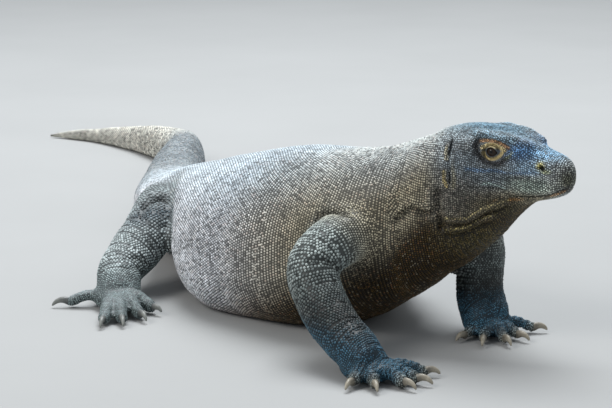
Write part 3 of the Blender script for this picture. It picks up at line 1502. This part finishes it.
                pieces.append(self.bead_mesh(title, roots[some], ways[some], along[some], size[some], spot))
        return pieces

    def bead_mesh(self, name: str, roots: Array, ways: Array, along: Array, size: Array,
                  spot: Array) -> bpy.types.Object:
        """Mesh of low domed scales.

        Args:
            name: Name of the piece.
            roots: Where each scale grows, in millimetres.
            ways: Outward direction at each root.
            along: Direction of the body's length at each root.
            size: Spacing at each root.
            spot: Place of each root on the unwrap.

        Returns:
            The piece.
        """
        count, n = len(roots), self.sides
        rng = np.random.default_rng(len(name) * 1000 + count)
        along = along - ways * (along * ways).sum(1)[:, None]
        along /= np.maximum(np.linalg.norm(along, axis=1), 1e-6)[:, None]
        across = np.cross(ways, along)
        angle = turns(n, 0.5)
        wobble = rng.uniform(0.9, 1.08, (count, n))
        flat = np.stack([np.cos(angle) * wobble, np.sin(angle) * wobble], -1)
        reach = (size * rng.uniform(0.44, 0.51, count))[:, None, None]
        steep = np.where((roots[:, 2] < 62) & (size < 4.2), 0.15, 0.28)
        tall = (np.minimum(size * steep, COAT_DEPTH) * rng.uniform(0.8, 1.1, count))[:, None]
        rings, flats = [], []
        for share in (1.0, self.crown_share):
            xy = flat * reach * share
            z = np.full((count, n), -self.root_depth) if share == 1.0 else tall + xy[..., 0] * self.lean
            ring = roots[:, None] + xy[..., :1] * along[:, None] + xy[..., 1:] * across[:, None]
            rings.append(ring + z[..., None] * ways[:, None])
            flats.append(flat * share)
        co = np.stack(rings, 1).reshape(-1, 3)
        co[:, 2] = np.maximum(co[:, 2], self.floor)
        base = np.arange(count)[:, None] * 2 * n
        k = np.arange(n)
        k2 = (k + 1) % n
        sides = np.stack([base + k, base + k2, base + n + k2, base + n + k], -1).reshape(-1, 4)
        caps = (base + n + k).reshape(-1, n)
        made = bpy.data.meshes.new(name)
        loops = np.concatenate([sides.ravel(), caps.ravel()]).astype(np.int32)
        starts = np.concatenate([np.arange(len(sides)) * 4, len(sides) * 4 + np.arange(count) * n])
        made.vertices.add(len(co))
        made.loops.add(len(loops))
        made.polygons.add(len(starts))
        made.vertices.foreach_set("co", ((co + SHIFT) * MM).astype(np.float32).ravel())
        made.loops.foreach_set("vertex_index", loops)
        made.polygons.foreach_set("loop_start", starts.astype(np.int32))
        made.update(calc_edges=True)
        smooth_faces(made)
        made.validate()
        spots = spot[:, None, None, :] + np.stack(flats, 1) * self.patch / 2
        layer = made.uv_layers.new(name="OFBake")
        layer.data.foreach_set("uv", spots.reshape(-1, 2)[loops].astype(np.float32).ravel())
        add_colour(made, np.repeat(self.markings.paint(roots), 2 * n, axis=0))
        add_value(made, "crown", np.tile(np.repeat([0.0, 1.0], n), count))
        add_value(made, "dust", np.repeat(self.markings.dust(roots), 2 * n))
        add_value(made, "tint", np.repeat(rng.random(count), 2 * n))
        return add_object(name, made)


# ---- finishes --------------------------------------------------------------------------
@dataclass(frozen=True)
class Socket:
    """One input or output of a node group, with its default and range."""

    name: str
    kind: str
    default: object = None

    def add(self, tree: bpy.types.NodeTree, way: str) -> None:
        """Adds the socket to a group's interface."""
        made = tree.interface.new_socket(self.name, in_out=way, socket_type=self.kind)
        if self.default is not None:
            made.default_value = self.default


class Nodes:
    """Short calls to add and link the nodes of one tree."""

    def __init__(self, tree: bpy.types.NodeTree) -> None:
        """Keeps the tree."""
        self.tree = tree

    def add(self, kind: str, **values: object) -> bpy.types.Node:
        """Adds a node.

        Args:
            kind: Node type, without the ShaderNode prefix if it has one.
            values: Properties of the node.

        Returns:
            The node.
        """
        full = kind if kind.startswith("Node") else "ShaderNode" + kind
        node = self.tree.nodes.new(full)
        for key, value in values.items():
            setattr(node, key, value)
        return node

    def put(self, node: bpy.types.Node, socket: str | int, value: object) -> None:
        """Links an output to an input, or sets the input's own value."""
        target = node.inputs[socket]
        if isinstance(value, bpy.types.NodeSocket):
            self.tree.links.new(value, target)
        else:
            target.default_value = value

    def math(self, operation: str, *values: object) -> bpy.types.NodeSocket:
        """Output of a maths node on two or three values."""
        node = self.add("Math", operation=operation)
        for k, value in enumerate(values):
            self.put(node, k, value)
        return node.outputs[0]

    def times(self, first: object, second: object) -> bpy.types.NodeSocket:
        """Product of two values."""
        return self.math("MULTIPLY", first, second)

    def scaled(self, colour: object, share: object) -> bpy.types.NodeSocket:
        """Colour times a value."""
        node = self.add("VectorMath", operation="SCALE")
        self.put(node, 0, colour)
        self.put(node, "Scale", share)
        return node.outputs[0]

    def attribute(self, name: str, output: str = "Fac") -> bpy.types.NodeSocket:
        """Value or colour stored on the mesh."""
        return self.add("Attribute", attribute_name=name).outputs[output]

    def bump(self, shader: bpy.types.Node, height: object, strength: float, distance: float) -> None:
        """Gives a shader fine relief of a strength and a distance in metres."""
        node = self.add("Bump")
        self.put(node, "Height", height)
        self.put(node, "Strength", strength)
        self.put(node, "Distance", distance)
        self.put(shader, "Normal", node.outputs[0])

    def noise(self, where: object, scale: float, detail: float = 2.0,
              rough: float = 0.5) -> bpy.types.NodeSocket:
        """Noise value, 0 to 1."""
        node = self.add("TexNoise")
        self.put(node, "Vector", where)
        self.put(node, "Scale", scale)
        self.put(node, "Detail", detail)
        self.put(node, "Roughness", rough)
        return node.outputs["Fac"]

    def ramp(self, value: object, stops: list[tuple[float, float]]) -> bpy.types.NodeSocket:
        """Value remapped by a smooth step between two stops."""
        node = self.add("MapRange", interpolation_type="SMOOTHSTEP")
        self.put(node, "Value", value)
        self.put(node, "From Min", stops[0][0])
        self.put(node, "From Max", stops[1][0])
        self.put(node, "To Min", stops[0][1])
        self.put(node, "To Max", stops[1][1])
        return node.outputs["Result"]

    def blend(self, share: object, first: object, second: object, way: str = "MIX") -> bpy.types.NodeSocket:
        """Colour mix."""
        node = self.add("Mix", data_type="RGBA", blend_type=way)
        self.put(node, "Factor", share)
        self.put(node, 6, first)
        self.put(node, 7, second)
        return node.outputs[2]


def new_material(name: str) -> tuple[bpy.types.Material, Nodes, bpy.types.Node]:
    """Starts a material.

    Args:
        name: Name of the material.

    Returns:
        The material, its node maker and its shader.
    """
    made = bpy.data.materials.new(name)
    made.use_nodes = True
    return made, Nodes(made.node_tree), made.node_tree.nodes["Principled BSDF"]


def new_group(name: str, inputs: list[Socket],
              outputs: list[Socket]) -> tuple[bpy.types.NodeTree, Nodes, bpy.types.Node, bpy.types.Node]:
    """Starts a node group.

    Args:
        name: Name of the group.
        inputs: Its inputs.
        outputs: Its outputs.

    Returns:
        The tree, its node maker, the input node and the output node.
    """
    tree = bpy.data.node_groups.new(name, "ShaderNodeTree")
    for socket in inputs:
        socket.add(tree, "INPUT")
    for socket in outputs:
        socket.add(tree, "OUTPUT")
    make = Nodes(tree)
    return tree, make, make.add("NodeGroupInput"), make.add("NodeGroupOutput")


class Hide:
    """Group that gives skin and scales their shared markings."""

    def __init__(self) -> None:
        """Builds the group once."""
        colour, value = "NodeSocketColor", "NodeSocketFloat"
        self.tree, make, source, sink = new_group(
            "hide markings",
            [Socket("Hide", colour, (0.2, 0.2, 0.2, 1)), Socket("Crown", value, 0.0),
             Socket("Tint", value, 0.5), Socket("Gap shade", value, 0.3),
             Socket("Fleck", value, 0.6), Socket("Dust", value, 0.2)],
            [Socket("Color", colour), Socket("Roughness", value), Socket("Height", value)])
        where = make.add("TexCoord").outputs["Object"]
        tint = source.outputs["Tint"]
        crown = source.outputs["Crown"]
        broad = make.noise(where, 9.0, 3.0, 0.55)
        patchy = make.noise(where, 34.0, 3.0, 0.6)
        grain = make.noise(where, 420.0, 2.0, 0.6)
        tone = make.math("MULTIPLY_ADD", tint, 1.3, 0.56)
        mottled = make.times(tone, make.ramp(patchy, [(0.3, 0.78), (0.7, 1.2)]))
        cloudy = make.times(mottled, make.ramp(broad, [(0.3, 0.88), (0.7, 1.1)]))
        base = make.scaled(source.outputs["Hide"], cloudy)
        amount = source.outputs["Fleck"]
        rust = make.times(make.ramp(tint, [(0.86, 0.0), (0.97, 1.0)]), amount)
        rusty = make.blend(make.times(rust, 0.55), base, (0.27, 0.12, 0.07, 1))
        cream = make.times(make.ramp(tint, [(0.66, 0.0), (0.8, 1.0)]), amount)
        cream = make.times(cream, make.ramp(tint, [(0.8, 1.0), (0.86, 0.0)]))
        pale = make.blend(make.times(cream, 0.55), rusty, (0.46, 0.42, 0.33, 1))
        dark = make.times(make.ramp(tint, [(0.06, 1.0), (0.16, 0.0)]), amount)
        deep = make.blend(make.times(dark, 0.7), pale, (0.035, 0.032, 0.03, 1))
        gap = make.scaled(source.outputs["Hide"], source.outputs["Gap shade"])
        shaded = make.blend(make.ramp(crown, [(0.12, 0.0), (0.85, 1.0)]), gap, deep)
        split = make.add("SeparateXYZ")
        make.put(split, 0, make.add("NewGeometry").outputs["Normal"])
        dusty = make.times(make.ramp(split.outputs["Z"], [(0.2, 0.0), (1.0, 1.0)]),
                          source.outputs["Dust"])
        dusty = make.times(dusty, make.ramp(grain, [(0.3, 0.4), (0.7, 1.0)]))
        make.put(sink, "Color", make.blend(dusty, shaded, (0.50, 0.55, 0.58, 1)))
        make.put(sink, "Roughness", make.math("MULTIPLY_ADD", grain, 0.22, 0.36))
        make.put(sink, "Height", make.math("ADD", make.times(grain, 0.5), patchy))


@dataclass(frozen=True)
class HideFinish:
    """Leathery hide: how dark the gaps are, how strong the flecks and the dust are."""

    name: str
    gap_shade: float
    fleck: float
    dust: float
    bump: float
    beads: bool

    def material(self, hide: Hide) -> bpy.types.Material:
        """Makes the material.

        Args:
            hide: The shared markings group.

        Returns:
            The material.
        """
        made, make, shader = new_material(self.name)
        group = make.add("Group")
        group.node_tree = hide.tree
        group.inputs["Tint"].default_value = 0.4
        make.put(group, "Hide", make.attribute("hide", "Color"))
        dusty = make.attribute("dust")
        make.put(group, "Dust", make.times(dusty, self.dust))
        if self.beads:
            make.put(group, "Crown", make.attribute("crown"))
            make.put(group, "Tint", make.attribute("tint"))
        group.inputs["Gap shade"].default_value = self.gap_shade
        group.inputs["Fleck"].default_value = self.fleck
        make.put(shader, "Base Color", group.outputs["Color"])
        make.put(shader, "Roughness", group.outputs["Roughness"])
        make.bump(shader, group.outputs["Height"], self.bump, 0.001)
        shader.inputs["Specular IOR Level"].default_value = 0.3
        return made


@dataclass(frozen=True)
class HornFinish:
    """Claw horn: pale and dark streaks along its length."""

    name: str = "claw horn"
    light: tuple[float, float, float] = (0.40, 0.36, 0.28)
    dark: tuple[float, float, float] = (0.075, 0.068, 0.058)

    def material(self) -> bpy.types.Material:
        """Makes the material."""
        made, make, shader = new_material(self.name)
        where = make.add("TexCoord").outputs["Object"]
        along = make.attribute("crown")
        streak = make.noise(where, 160.0, 4.0, 0.6)
        worn = make.noise(where, 700.0, 2.0, 0.5)
        share = make.math("MULTIPLY_ADD", streak, 1.1, make.ramp(along, [(0.2, -0.3), (0.7, 0.15)]))
        tone = make.blend(share, (*self.dark, 1), (*self.light, 1))
        make.put(shader, "Base Color", tone)
        make.put(shader, "Roughness", make.ramp(worn, [(0.3, 0.28), (0.7, 0.55)]))
        make.bump(shader, make.math("ADD", streak, worn), 0.35, 0.0006)
        return made


@dataclass(frozen=True)
class EyeFinish:
    """Eyeball: black pupil, dark brown iris with fine rays, and a brown white."""

    name: str = "eye"
    iris: tuple[float, float, float] = (0.034, 0.019, 0.010)
    rim: tuple[float, float, float] = (0.008, 0.006, 0.005)

    def material(self) -> bpy.types.Material:
        """Makes the material."""
        made, make, shader = new_material(self.name)
        out = make.attribute("ring")
        where = make.add("TexCoord").outputs["Object"]
        rays = make.noise(where, 900.0, 3.0, 0.6)
        iris = make.blend(rays, (*self.rim, 1), (*self.iris, 1))
        pupil = make.ramp(out, [(0.26, 0.0), (0.34, 1.0)])
        dark = make.blend(pupil, (0.002, 0.002, 0.002, 1), iris)
        edge = make.ramp(out, [(0.66, 0.0), (0.8, 1.0)])
        make.put(shader, "Base Color", make.blend(edge, dark, (0.016, 0.012, 0.010, 1)))
        make.put(shader, "Roughness", make.ramp(rays, [(0.2, 0.06), (0.8, 0.12)]))
        shader.inputs["Coat Weight"].default_value = 0.1
        shader.inputs["Coat Roughness"].default_value = 0.03
        shader.inputs["Specular IOR Level"].default_value = 0.22
        return made


# ---- lids, eyes and claws ----------------------------------------------------------------
@dataclass
class Face:
    """Eyeballs and the scaly lids round them."""

    head: Head
    eye: Eye
    markings: Markings
    around: int = 96

    def frame(self, side: int) -> tuple[Array, Array, Array, Array]:
        """Centre, look, forward and up of one eye, in the animal's axes."""
        centre = self.head.world(self.eye.centre(side))
        look = self.head.turned(self.eye.look(side))
        ahead = self.head.turned(np.array([1.0, 0.0, 0.0]))
        ahead -= look * ahead.dot(look)
        ahead /= np.linalg.norm(ahead)
        return centre, look, ahead, np.cross(look, ahead) * side * -1

    def eyeball(self, side: int, name: str) -> bpy.types.Object:
        """One eyeball with a slightly raised clear front.

        Args:
            side: 1 for left and -1 for right.
            name: Name of the piece.

        Returns:
            The piece.
        """
        centre, look, ahead, up = self.frame(side)
        radius = self.eye.radius - 0.25
        rings, value = [], []
        angle = turns(48)
        for step in np.linspace(0.015, 0.97, 30) * math.pi:
            bulge = 1 + 0.03 * math.exp(-(step / 0.55) ** 2)
            out = radius * bulge * math.sin(step)
            ring = centre + np.outer(np.cos(angle) * out, ahead) + np.outer(np.sin(angle) * out, up)
            rings.append(ring + look * radius * bulge * math.cos(step))
            value += [math.sin(step) if step < math.pi / 2 else 1.0] * 48
        shells = Shells()
        shells.add_rings(rings)
        mesh = shells.mesh(name, 0.0)
        add_value(mesh, "ring", np.array(value))
        return finish_piece(name, mesh)

    def lids(self, side: int, name: str, surface: BVHTree) -> bpy.types.Object:
        """Both lids of one eye as one almond-shaped ring of skin.

        Args:
            side: 1 for left and -1 for right.
            name: Name of the piece.
            surface: The skin, in millimetres.

        Returns:
            The piece.
        """
        centre, look, ahead, up = self.frame(side)
        angle = turns(self.around)
        front, above = np.cos(angle), np.sin(angle)
        rim_a = front * self.eye.open_long * (1 + 0.10 * np.maximum(front, 0) ** 4)
        rim_b = np.sign(above) * np.abs(above) ** 1.2 * self.eye.open_high * np.where(above > 0, 0.86, 0.92)
        rim = np.column_stack([rim_a, rim_b - 0.10 * rim_a])
        length = np.linalg.norm(rim, axis=1)
        outer = self.eye.lid_reach + 2.0
        hood = smooth(0.0, 0.8, above)
        rings, shares = [], np.concatenate([[0, 0.02, 0.05, 0.09], np.linspace(0.13, 1.05, 24)])
        for share in shares:
            reach = length + (outer - length) * share
            flat = rim / length[:, None] * reach[:, None]
            high = self.profile(share, reach, hood, angle)
            ring = centre + np.outer(flat[:, 0], ahead) + np.outer(flat[:, 1], up)
            lid = ring + high[:, None] * look
            blend = float(smooth(0.42, 0.95, np.array(share)))
            placed = []
            for point, free in zip(ring, lid):
                hit, _, _, _ = surface.ray_cast(point + look * 40, -look, 60)
                ground = np.array(hit) if hit is not None else free
                sunk = ground - look * (4.5 * max(share - 0.8, 0))
                placed.append(free * (1 - blend) + sunk * blend)
            rings.append(np.array(placed))
        co = np.vstack(rings)
        faces = []
        n = self.around
        for r in range(len(rings) - 1):
            for k in range(n):
                a, b = r * n + k, r * n + (k + 1) % n
                faces.append([a, b, b + n, a + n] if side < 0 else [a, a + n, b + n, b])
        mesh = bpy.data.meshes.new(name)
        mesh.from_pydata(((co + SHIFT) * MM).tolist(), [], faces)
        add_colour(mesh, self.lid_colour(co, np.repeat(shares, n)))
        add_value(mesh, "free", np.repeat(shares, n))
        return finish_piece(name, mesh)

    def profile(self, share: float, reach: Array, hood: Array, angle: Array) -> Array:
        """Height of one ring of the lids above the middle of the eye.

        Args:
            share: Place of the ring from the opening to the outer edge.
            reach: Distance of its points from the eye's own axis.
            hood: How far each point belongs to the upper lid.
            angle: Angle of each point round the eye.

        Returns:
            Heights in millimetres.
        """
        ball = self.eye.radius
        over = np.sqrt(np.maximum((ball + 1.2) ** 2 - reach ** 2, 9.0))
        thick = 1.0 - math.exp(-(share / 0.04) ** 2)
        close = np.sqrt(np.maximum(ball ** 2 - reach ** 2, 4.0)) + 0.15
        high = close + (over - close) * thick
        high += (0.5 + 1.3 * hood) * math.exp(-((share - 0.20) / 0.13) ** 2)
        high -= (0.5 + 1.0 * hood) * math.exp(-((share - 0.42) / 0.05) ** 2)
        high += (0.4 + 1.2 * hood) * math.exp(-((share - 0.58) / 0.10) ** 2)
        wrinkle = np.sin(share * 46 + 1.2 * np.sin(angle * 3)) * smooth(0.2, 0.4, np.array(share))
        return high + wrinkle * 0.16

    def lid_colour(self, co: Array, share: Array) -> Array:
        """Colours of the lids: the hide's own, with a dark rim round the opening."""
        hide = self.markings.paint(co)
        edge = (1 - smooth(0.03, 0.11, share))[:, None]
        return hide + (linear(34, 28, 24) - hide) * edge


def finish_piece(name: str, mesh: bpy.types.Mesh) -> bpy.types.Object:
    """Links a smooth-shaded piece."""
    made = bmesh.new()
    made.from_mesh(mesh)
    if all(len(e.link_faces) == 2 for e in made.edges):
        bmesh.ops.recalc_face_normals(made, faces=made.faces)
        made.to_mesh(mesh)
    made.free()
    smooth_faces(mesh)
    return add_object(name, mesh)


@dataclass
class Claws:
    """The five curved claws of one foot."""

    leg: Leg
    base: float = 6.8
    tip: float = 1.1
    rise: float = 22.0
    bend: float = 84.0
    root: float = 5.0
    steps: int = 16
    sides: int = 14

    def build(self) -> bpy.types.Object:
        """Builds the claws as one piece."""
        shells = Shells()
        value: list[float] = []
        for toe in self.leg.toes:
            rings = self.rings(toe)
            shells.add_rings(rings)
            value += np.repeat(np.linspace(0, 1, len(rings)), self.sides).tolist()
        name = f"claws_{self.leg.name}"
        mesh = shells.mesh(name, 0.3)
        add_value(mesh, "crown", np.array(value))
        return finish_piece(name, mesh)

    def rings(self, toe: Toe) -> list[Array]:
        """Rings of one claw from inside the toe to its point."""
        way = toe.way()
        up = np.array([0.0, 0.0, 1.0])
        side = np.cross(up, way)
        spot = self.leg.palm_spot() + way * (toe.length - self.root)
        spot[2] = toe.radius * 0.84 + 1.5 - self.root * math.sin(math.radians(self.rise))
        whole = toe.claw + self.root
        angle = turns(self.sides)
        rings = []
        for s in range(self.steps + 1):
            share = s / self.steps
            grown = max(0.0, (share * whole - self.root) / toe.claw)
            pitch = math.radians(self.rise - self.bend * grown)
            along = way * math.cos(pitch) + up * math.sin(pitch)
            lift = np.cross(along, side)
            size = self.tip + (self.base - 0.3 - self.tip) * (1 - grown) ** 0.62
            keel = 1 + 0.10 * np.sin(angle) * (1 if lift[2] > 0 else -1)
            ring = spot + np.outer(np.cos(angle) * size * 0.82 * keel, side)
            rings.append(ring + np.outer(np.sin(angle) * size, lift))
            spot = spot + along * (whole / self.steps)
        return rings


# ---- studio ------------------------------------------------------------------------------
@dataclass(frozen=True)
class Lamp:
    """Soft square light: its place, its target, its size in metres and its power."""

    name: str
    place: tuple[float, float, float]
    target: tuple[float, float, float]
    size: float
    power: float
    colour: tuple[float, float, float] = (1.0, 1.0, 1.0)

    def build(self) -> None:
        """Adds the light."""
        data = bpy.data.lights.new(self.name, "AREA")
        data.size = self.size
        data.energy = self.power
        data.color = self.colour
        lamp = add_object(self.name, data)
        lamp.location = self.place
        aim(lamp, Vector(self.target) - Vector(self.place))


@dataclass
class Studio:
    """Pale floor, soft lights and the camera."""

    eye_point: tuple[float, float, float] = (3.6678, -2.0563, 0.9586)
    lens: float = 129.41
    azimuth: float = 57.0
    pitch: float = 12.0
    floor_half: float = 60.0
    floor_level: float = -0.0005
    lamps: tuple[Lamp, ...] = (
        Lamp("top light", (-1.2, 1.2, 5.2), (0.0, 0.0, 0.0), 3.4, 420.0, (0.95, 0.98, 1.0)),
        Lamp("side light", (0.6, -4.2, 3.6), (0.1, 0.0, 0.1), 2.0, 110.0, (1.0, 0.97, 0.93)),
    )

    def build(self) -> None:
        """Adds floor, lights, sky and camera."""
        bpy.context.scene.view_settings.view_transform = "Standard"
        self.floor()
        for lamp in self.lamps:
            lamp.build()
        self.sky()
        self.camera()

    def floor(self) -> None:
        """Adds the floor."""
        mesh = bpy.data.meshes.new("floor")
        ends = ((-1, -1), (1, -1), (1, 1), (-1, 1))
        mesh.from_pydata([(x * self.floor_half, y * self.floor_half, self.floor_level) for x, y in ends],
                         [], [(0, 1, 2, 3)])
        floor = add_object("floor", mesh)
        made, make, shader = new_material("floor paint")
        where = make.add("TexCoord").outputs["Object"]
        cloud = make.noise(where, 2.2, 3.0)
        make.put(shader, "Base Color", make.blend(cloud, (0.33, 0.335, 0.335, 1), (0.37, 0.375, 0.375, 1)))
        shader.inputs["Roughness"].default_value = 0.85
        mesh.materials.append(made)

    def sky(self) -> None:
        """Sets an even pale sky."""
        world = bpy.data.worlds.new("sky")
        bpy.context.scene.world = world
        world.use_nodes = True
        back = world.node_tree.nodes["Background"]
        back.inputs[0].default_value = (0.90, 0.95, 1.0, 1)
        back.inputs[1].default_value = 0.55

    def camera(self) -> None:
        """Adds the camera at the viewing angle."""
        data = bpy.data.cameras.new("camera")
        data.lens = self.lens
        data.sensor_width = 36.0
        data.clip_start, data.clip_end = 0.05, 60.0
        camera = add_object("camera", data)
        camera.location = self.eye_point
        a, e = math.radians(self.azimuth), math.radians(self.pitch)
        way = Vector((-math.sin(a) * math.cos(e), math.cos(a) * math.cos(e), -math.sin(e)))
        aim(camera, way)
        bpy.context.scene.camera = camera


# ---- the whole animal --------------------------------------------------------------------
HEAD_FOLDS = [
    Fold([(10, 75, 214), (27, 67, 213), (46, 59, 214), (58, 55, 222), (70, 51, 231), (84, 45, 237),
         (99, 39, 244), (113, 36, 251)], 4.6, 4.0),
    Fold([(9, 74, 206), (30, 66, 205), (46, 58, 206), (60, 52, 214), (75, 47, 225), (95, 38, 233),
         (109, 32, 240)], -4.2, 3.2),
    Fold([(11, 70, 195), (28, 63, 196), (47, 55, 202), (62, 50, 213), (77, 44, 219), (94, 36, 227)], 4.6,
         3.8),
    Fold([(11, 69, 187), (28, 62, 188), (47, 53, 194), (64, 47, 204), (82, 40, 211)], -3.6, 3.2),
    Fold([(5, 79, 266), (5, 78, 250), (7, 77, 231), (8, 75, 213), (9, 70, 190)], -8.5, 5.4),
    Fold([(-8, 83, 262), (-9, 82, 242), (-8, 81, 222), (-5, 79, 204)], 3.4, 6.5),
    Fold([(200, 10, 280), (197, 13, 275), (185, 21, 270), (171, 23, 263), (154, 25, 259), (139, 28, 257),
         (127, 32, 257), (115, 37, 258), (107, 41, 263), (101, 43, 268), (86, 49, 269), (71, 55, 269),
         (54, 62, 269), (39, 68, 269)], -3.2, 1.9),
    Fold([(196, 17, 283), (185, 24, 278), (171, 28, 271), (154, 31, 267), (139, 33, 265), (125, 38, 265),
         (113, 43, 267)], 2.4, 5.0),
    Fold([(71, 55, 276), (83, 50, 277), (95, 46, 275), (105, 42, 272)], 1.4, 3.4),
    Fold([(14, 56, 343), (17, 64, 329), (19, 68, 314), (21, 72, 298), (23, 73, 282), (23, 73, 265)], -2.4,
         2.4),
    Fold([(5, 62, 338), (8, 68, 322), (11, 72, 304), (13, 76, 286), (15, 77, 268)], 1.8, 4.5),
    Fold([(53, 40, 351), (72, 43, 352), (95, 43, 349), (112, 37, 344)], 3.4, 5.5),
    Fold([(56, 45, 346), (66, 48, 346), (82, 48, 345), (97, 44, 342), (110, 37, 337)], -2.6, 2.6),
    Fold([(112, 37, 331), (130, 31, 329), (150, 26, 324), (162, 24, 320)], 1.8, 6.0),
    Fold([(112, 38, 312), (132, 33, 308), (150, 30, 305)], -1.6, 5.0),
    Fold([(57, 46, 345), (59, 52, 337), (62, 54, 328), (68, 54, 318), (76, 52, 311)], -2.4, 3.4),
    Fold([(70, 54, 309), (84, 50, 305), (98, 45, 305), (108, 41, 310)], -1.5, 2.6),
    Fold([(66, 56, 303), (84, 51, 299), (104, 44, 300)], 1.2, 3.4),
    Fold([(38, 68, 292), (60, 60, 289), (84, 52, 287), (104, 45, 287)], -1.3, 2.4),
    Fold([(40, 68, 281), (60, 60, 279), (78, 54, 280)], -1.1, 2.2),
    Fold([(30, 72, 258), (50, 65, 256), (72, 57, 257), (92, 48, 256)], -1.3, 3.0),
    Fold([(32, 71, 240), (52, 64, 239), (72, 55, 243), (90, 47, 248)], -1.1, 3.0),
]
BODY_FOLDS = [
    Fold([(376, -46, 212), (382, -37, 213), (388, -30, 223), (395, -21, 230), (403, -11, 225),
         (413, -3, 221), (421, 2, 229), (427, 6, 242)], -8.0, 5.6, Axes.BODY, False),
    Fold([(379, -42, 222), (385, -33, 230), (393, -24, 237), (402, -13, 234), (412, -5, 230)], 4.2, 4.6,
         Axes.BODY, False),
    Fold([(280, -126, 198), (287, -120, 208), (300, -117, 217), (316, -114, 220), (333, -112, 221),
         (347, -108, 217)], -7.0, 5.4, Axes.BODY),
    Fold([(284, -116, 218), (298, -107, 224), (314, -100, 226), (334, -96, 226)], 2.6, 7.0, Axes.BODY),
    Fold([(366, -202, 159), (375, -190, 161), (380, -174, 160), (378, -158, 152), (368, -142, 142)], -4.0,
         5.0, Axes.BODY, False),
    Fold([(-165, -204, 134), (-171, -198, 140), (-179, -188, 146), (-185, -175, 151), (-186, -162, 156),
         (-182, -148, 156), (-173, -140, 150)], -9.0, 6.4, Axes.BODY, False),
    Fold([(-195, -181, 154), (-202, -164, 160), (-203, -146, 162), (-197, -129, 160)], 3.0, 7.0,
         Axes.BODY, False),
    Fold([(-151, -202, 128), (-142, -193, 121), (-139, -177, 118), (-148, -156, 121)], -2.6, 5.0,
         Axes.BODY, False),
    Fold([(-113, -258, 71), (-114, -239, 74), (-116, -219, 67), (-123, -207, 55)], -2.4, 4.0, Axes.BODY,
         False),
    Fold([(-101, -280, 53), (-104, -256, 55), (-115, -227, 47)], -2.2, 4.0, Axes.BODY, False),
    Fold([(463, -207, 74), (468, -192, 79), (455, -164, 81)], -2.0, 4.5, Axes.BODY, False),
    Fold([(475, -212, 62), (485, -197, 66), (480, -172, 72)], -1.8, 4.0, Axes.BODY, False),
]
PITS = [
    Pit((163, 29, 305.5), 6.0, 4.8, 6.0, 1.8),
    Pit((17, 65, 327), 3.2, 14.0, 4.6, 1.0),
    Pit((22, 73, 281), 3.4, 12.0, 5.0, 1.2),
]


def main() -> None:
    """Builds every piece in order."""
    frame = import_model()
    Studio().build()
    trunk, head, eye, four = Trunk(), Head(), Eye(), legs()
    hide = Hide()
    folds = HEAD_FOLDS + BODY_FOLDS
    markings = Markings(trunk, head, four, folds)
    skin = Skin(trunk, head, four, eye, folds=folds, pits=PITS).build()
    co = body_coords(skin.data)
    add_colour(skin.data, markings.paint(co))
    add_value(skin.data, "dust", markings.dust(co))
    skin.data.materials.clear()
    skin.data.materials.append(HideFinish("hide", 0.20, 0.6, 0.65, 0.5, False).material(hide))
    log.info("skin: %d faces", len(skin.data.polygons))
    flesh = [name for name in frame["nodes"] if not name.startswith(("eye", "claw"))]
    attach(skin, "root")
    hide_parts(*flesh)

    surface = BVHTree.FromPolygons(co.tolist(), corners_of(skin.data))
    face = Face(head, eye, markings)
    eye_look = EyeFinish().material()
    lid_look = HideFinish("lids", 0.95, 0.2, 0.0, 0.6, False).material(hide)
    all_lids = []
    for side, name in ((1, "left"), (-1, "right")):
        ball = face.eyeball(side, f"eyeball_{name}")
        ball.data.materials.append(eye_look)
        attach(ball, "root")
        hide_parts(f"eye_{name}")
        lids = face.lids(side, f"lids_{name}", surface)
        lids.data.materials.append(lid_look)
        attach(lids, "root")
        all_lids.append(lids)
        log.info("eye and lids: %s", name)

    fore_horn = HornFinish("fore claw horn").material()
    hind_horn = HornFinish("hind claw horn", (0.25, 0.26, 0.24), (0.05, 0.055, 0.06)).material()
    for leg in four:
        claws = Claws(leg).build()
        claws.data.materials.append(fore_horn if leg.is_front else hind_horn)
        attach(claws, "root")
        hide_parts(*[f"claw_{leg.name}_{k}" for k in range(1, 6)])
        log.info("claws: %s", leg.name)

    body_look = HideFinish("body scales", 0.16, 0.6, 0.45, 0.35, True).material(hide)
    head_look = HideFinish("head scales", 0.12, 0.30, 0.05, 0.35, True).material(hide)
    limb_look = HideFinish("limb scales", 0.09, 0.15, 0.10, 0.35, True).material(hide)
    for piece in Scales(trunk, head, four, eye, markings).grow(skin, all_lids):
        kind = piece.name.split("_")[1]
        look, slot = {"head": (head_look, "head_skin"), "body": (body_look, "body_skin")}.get(
            kind, (limb_look, "limb_skin"))
        piece.data.materials.append(look)
        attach(piece, "root")
        log.info("%s: %d faces", piece.name, len(piece.data.polygons))


if __name__ == "__main__":
    main()
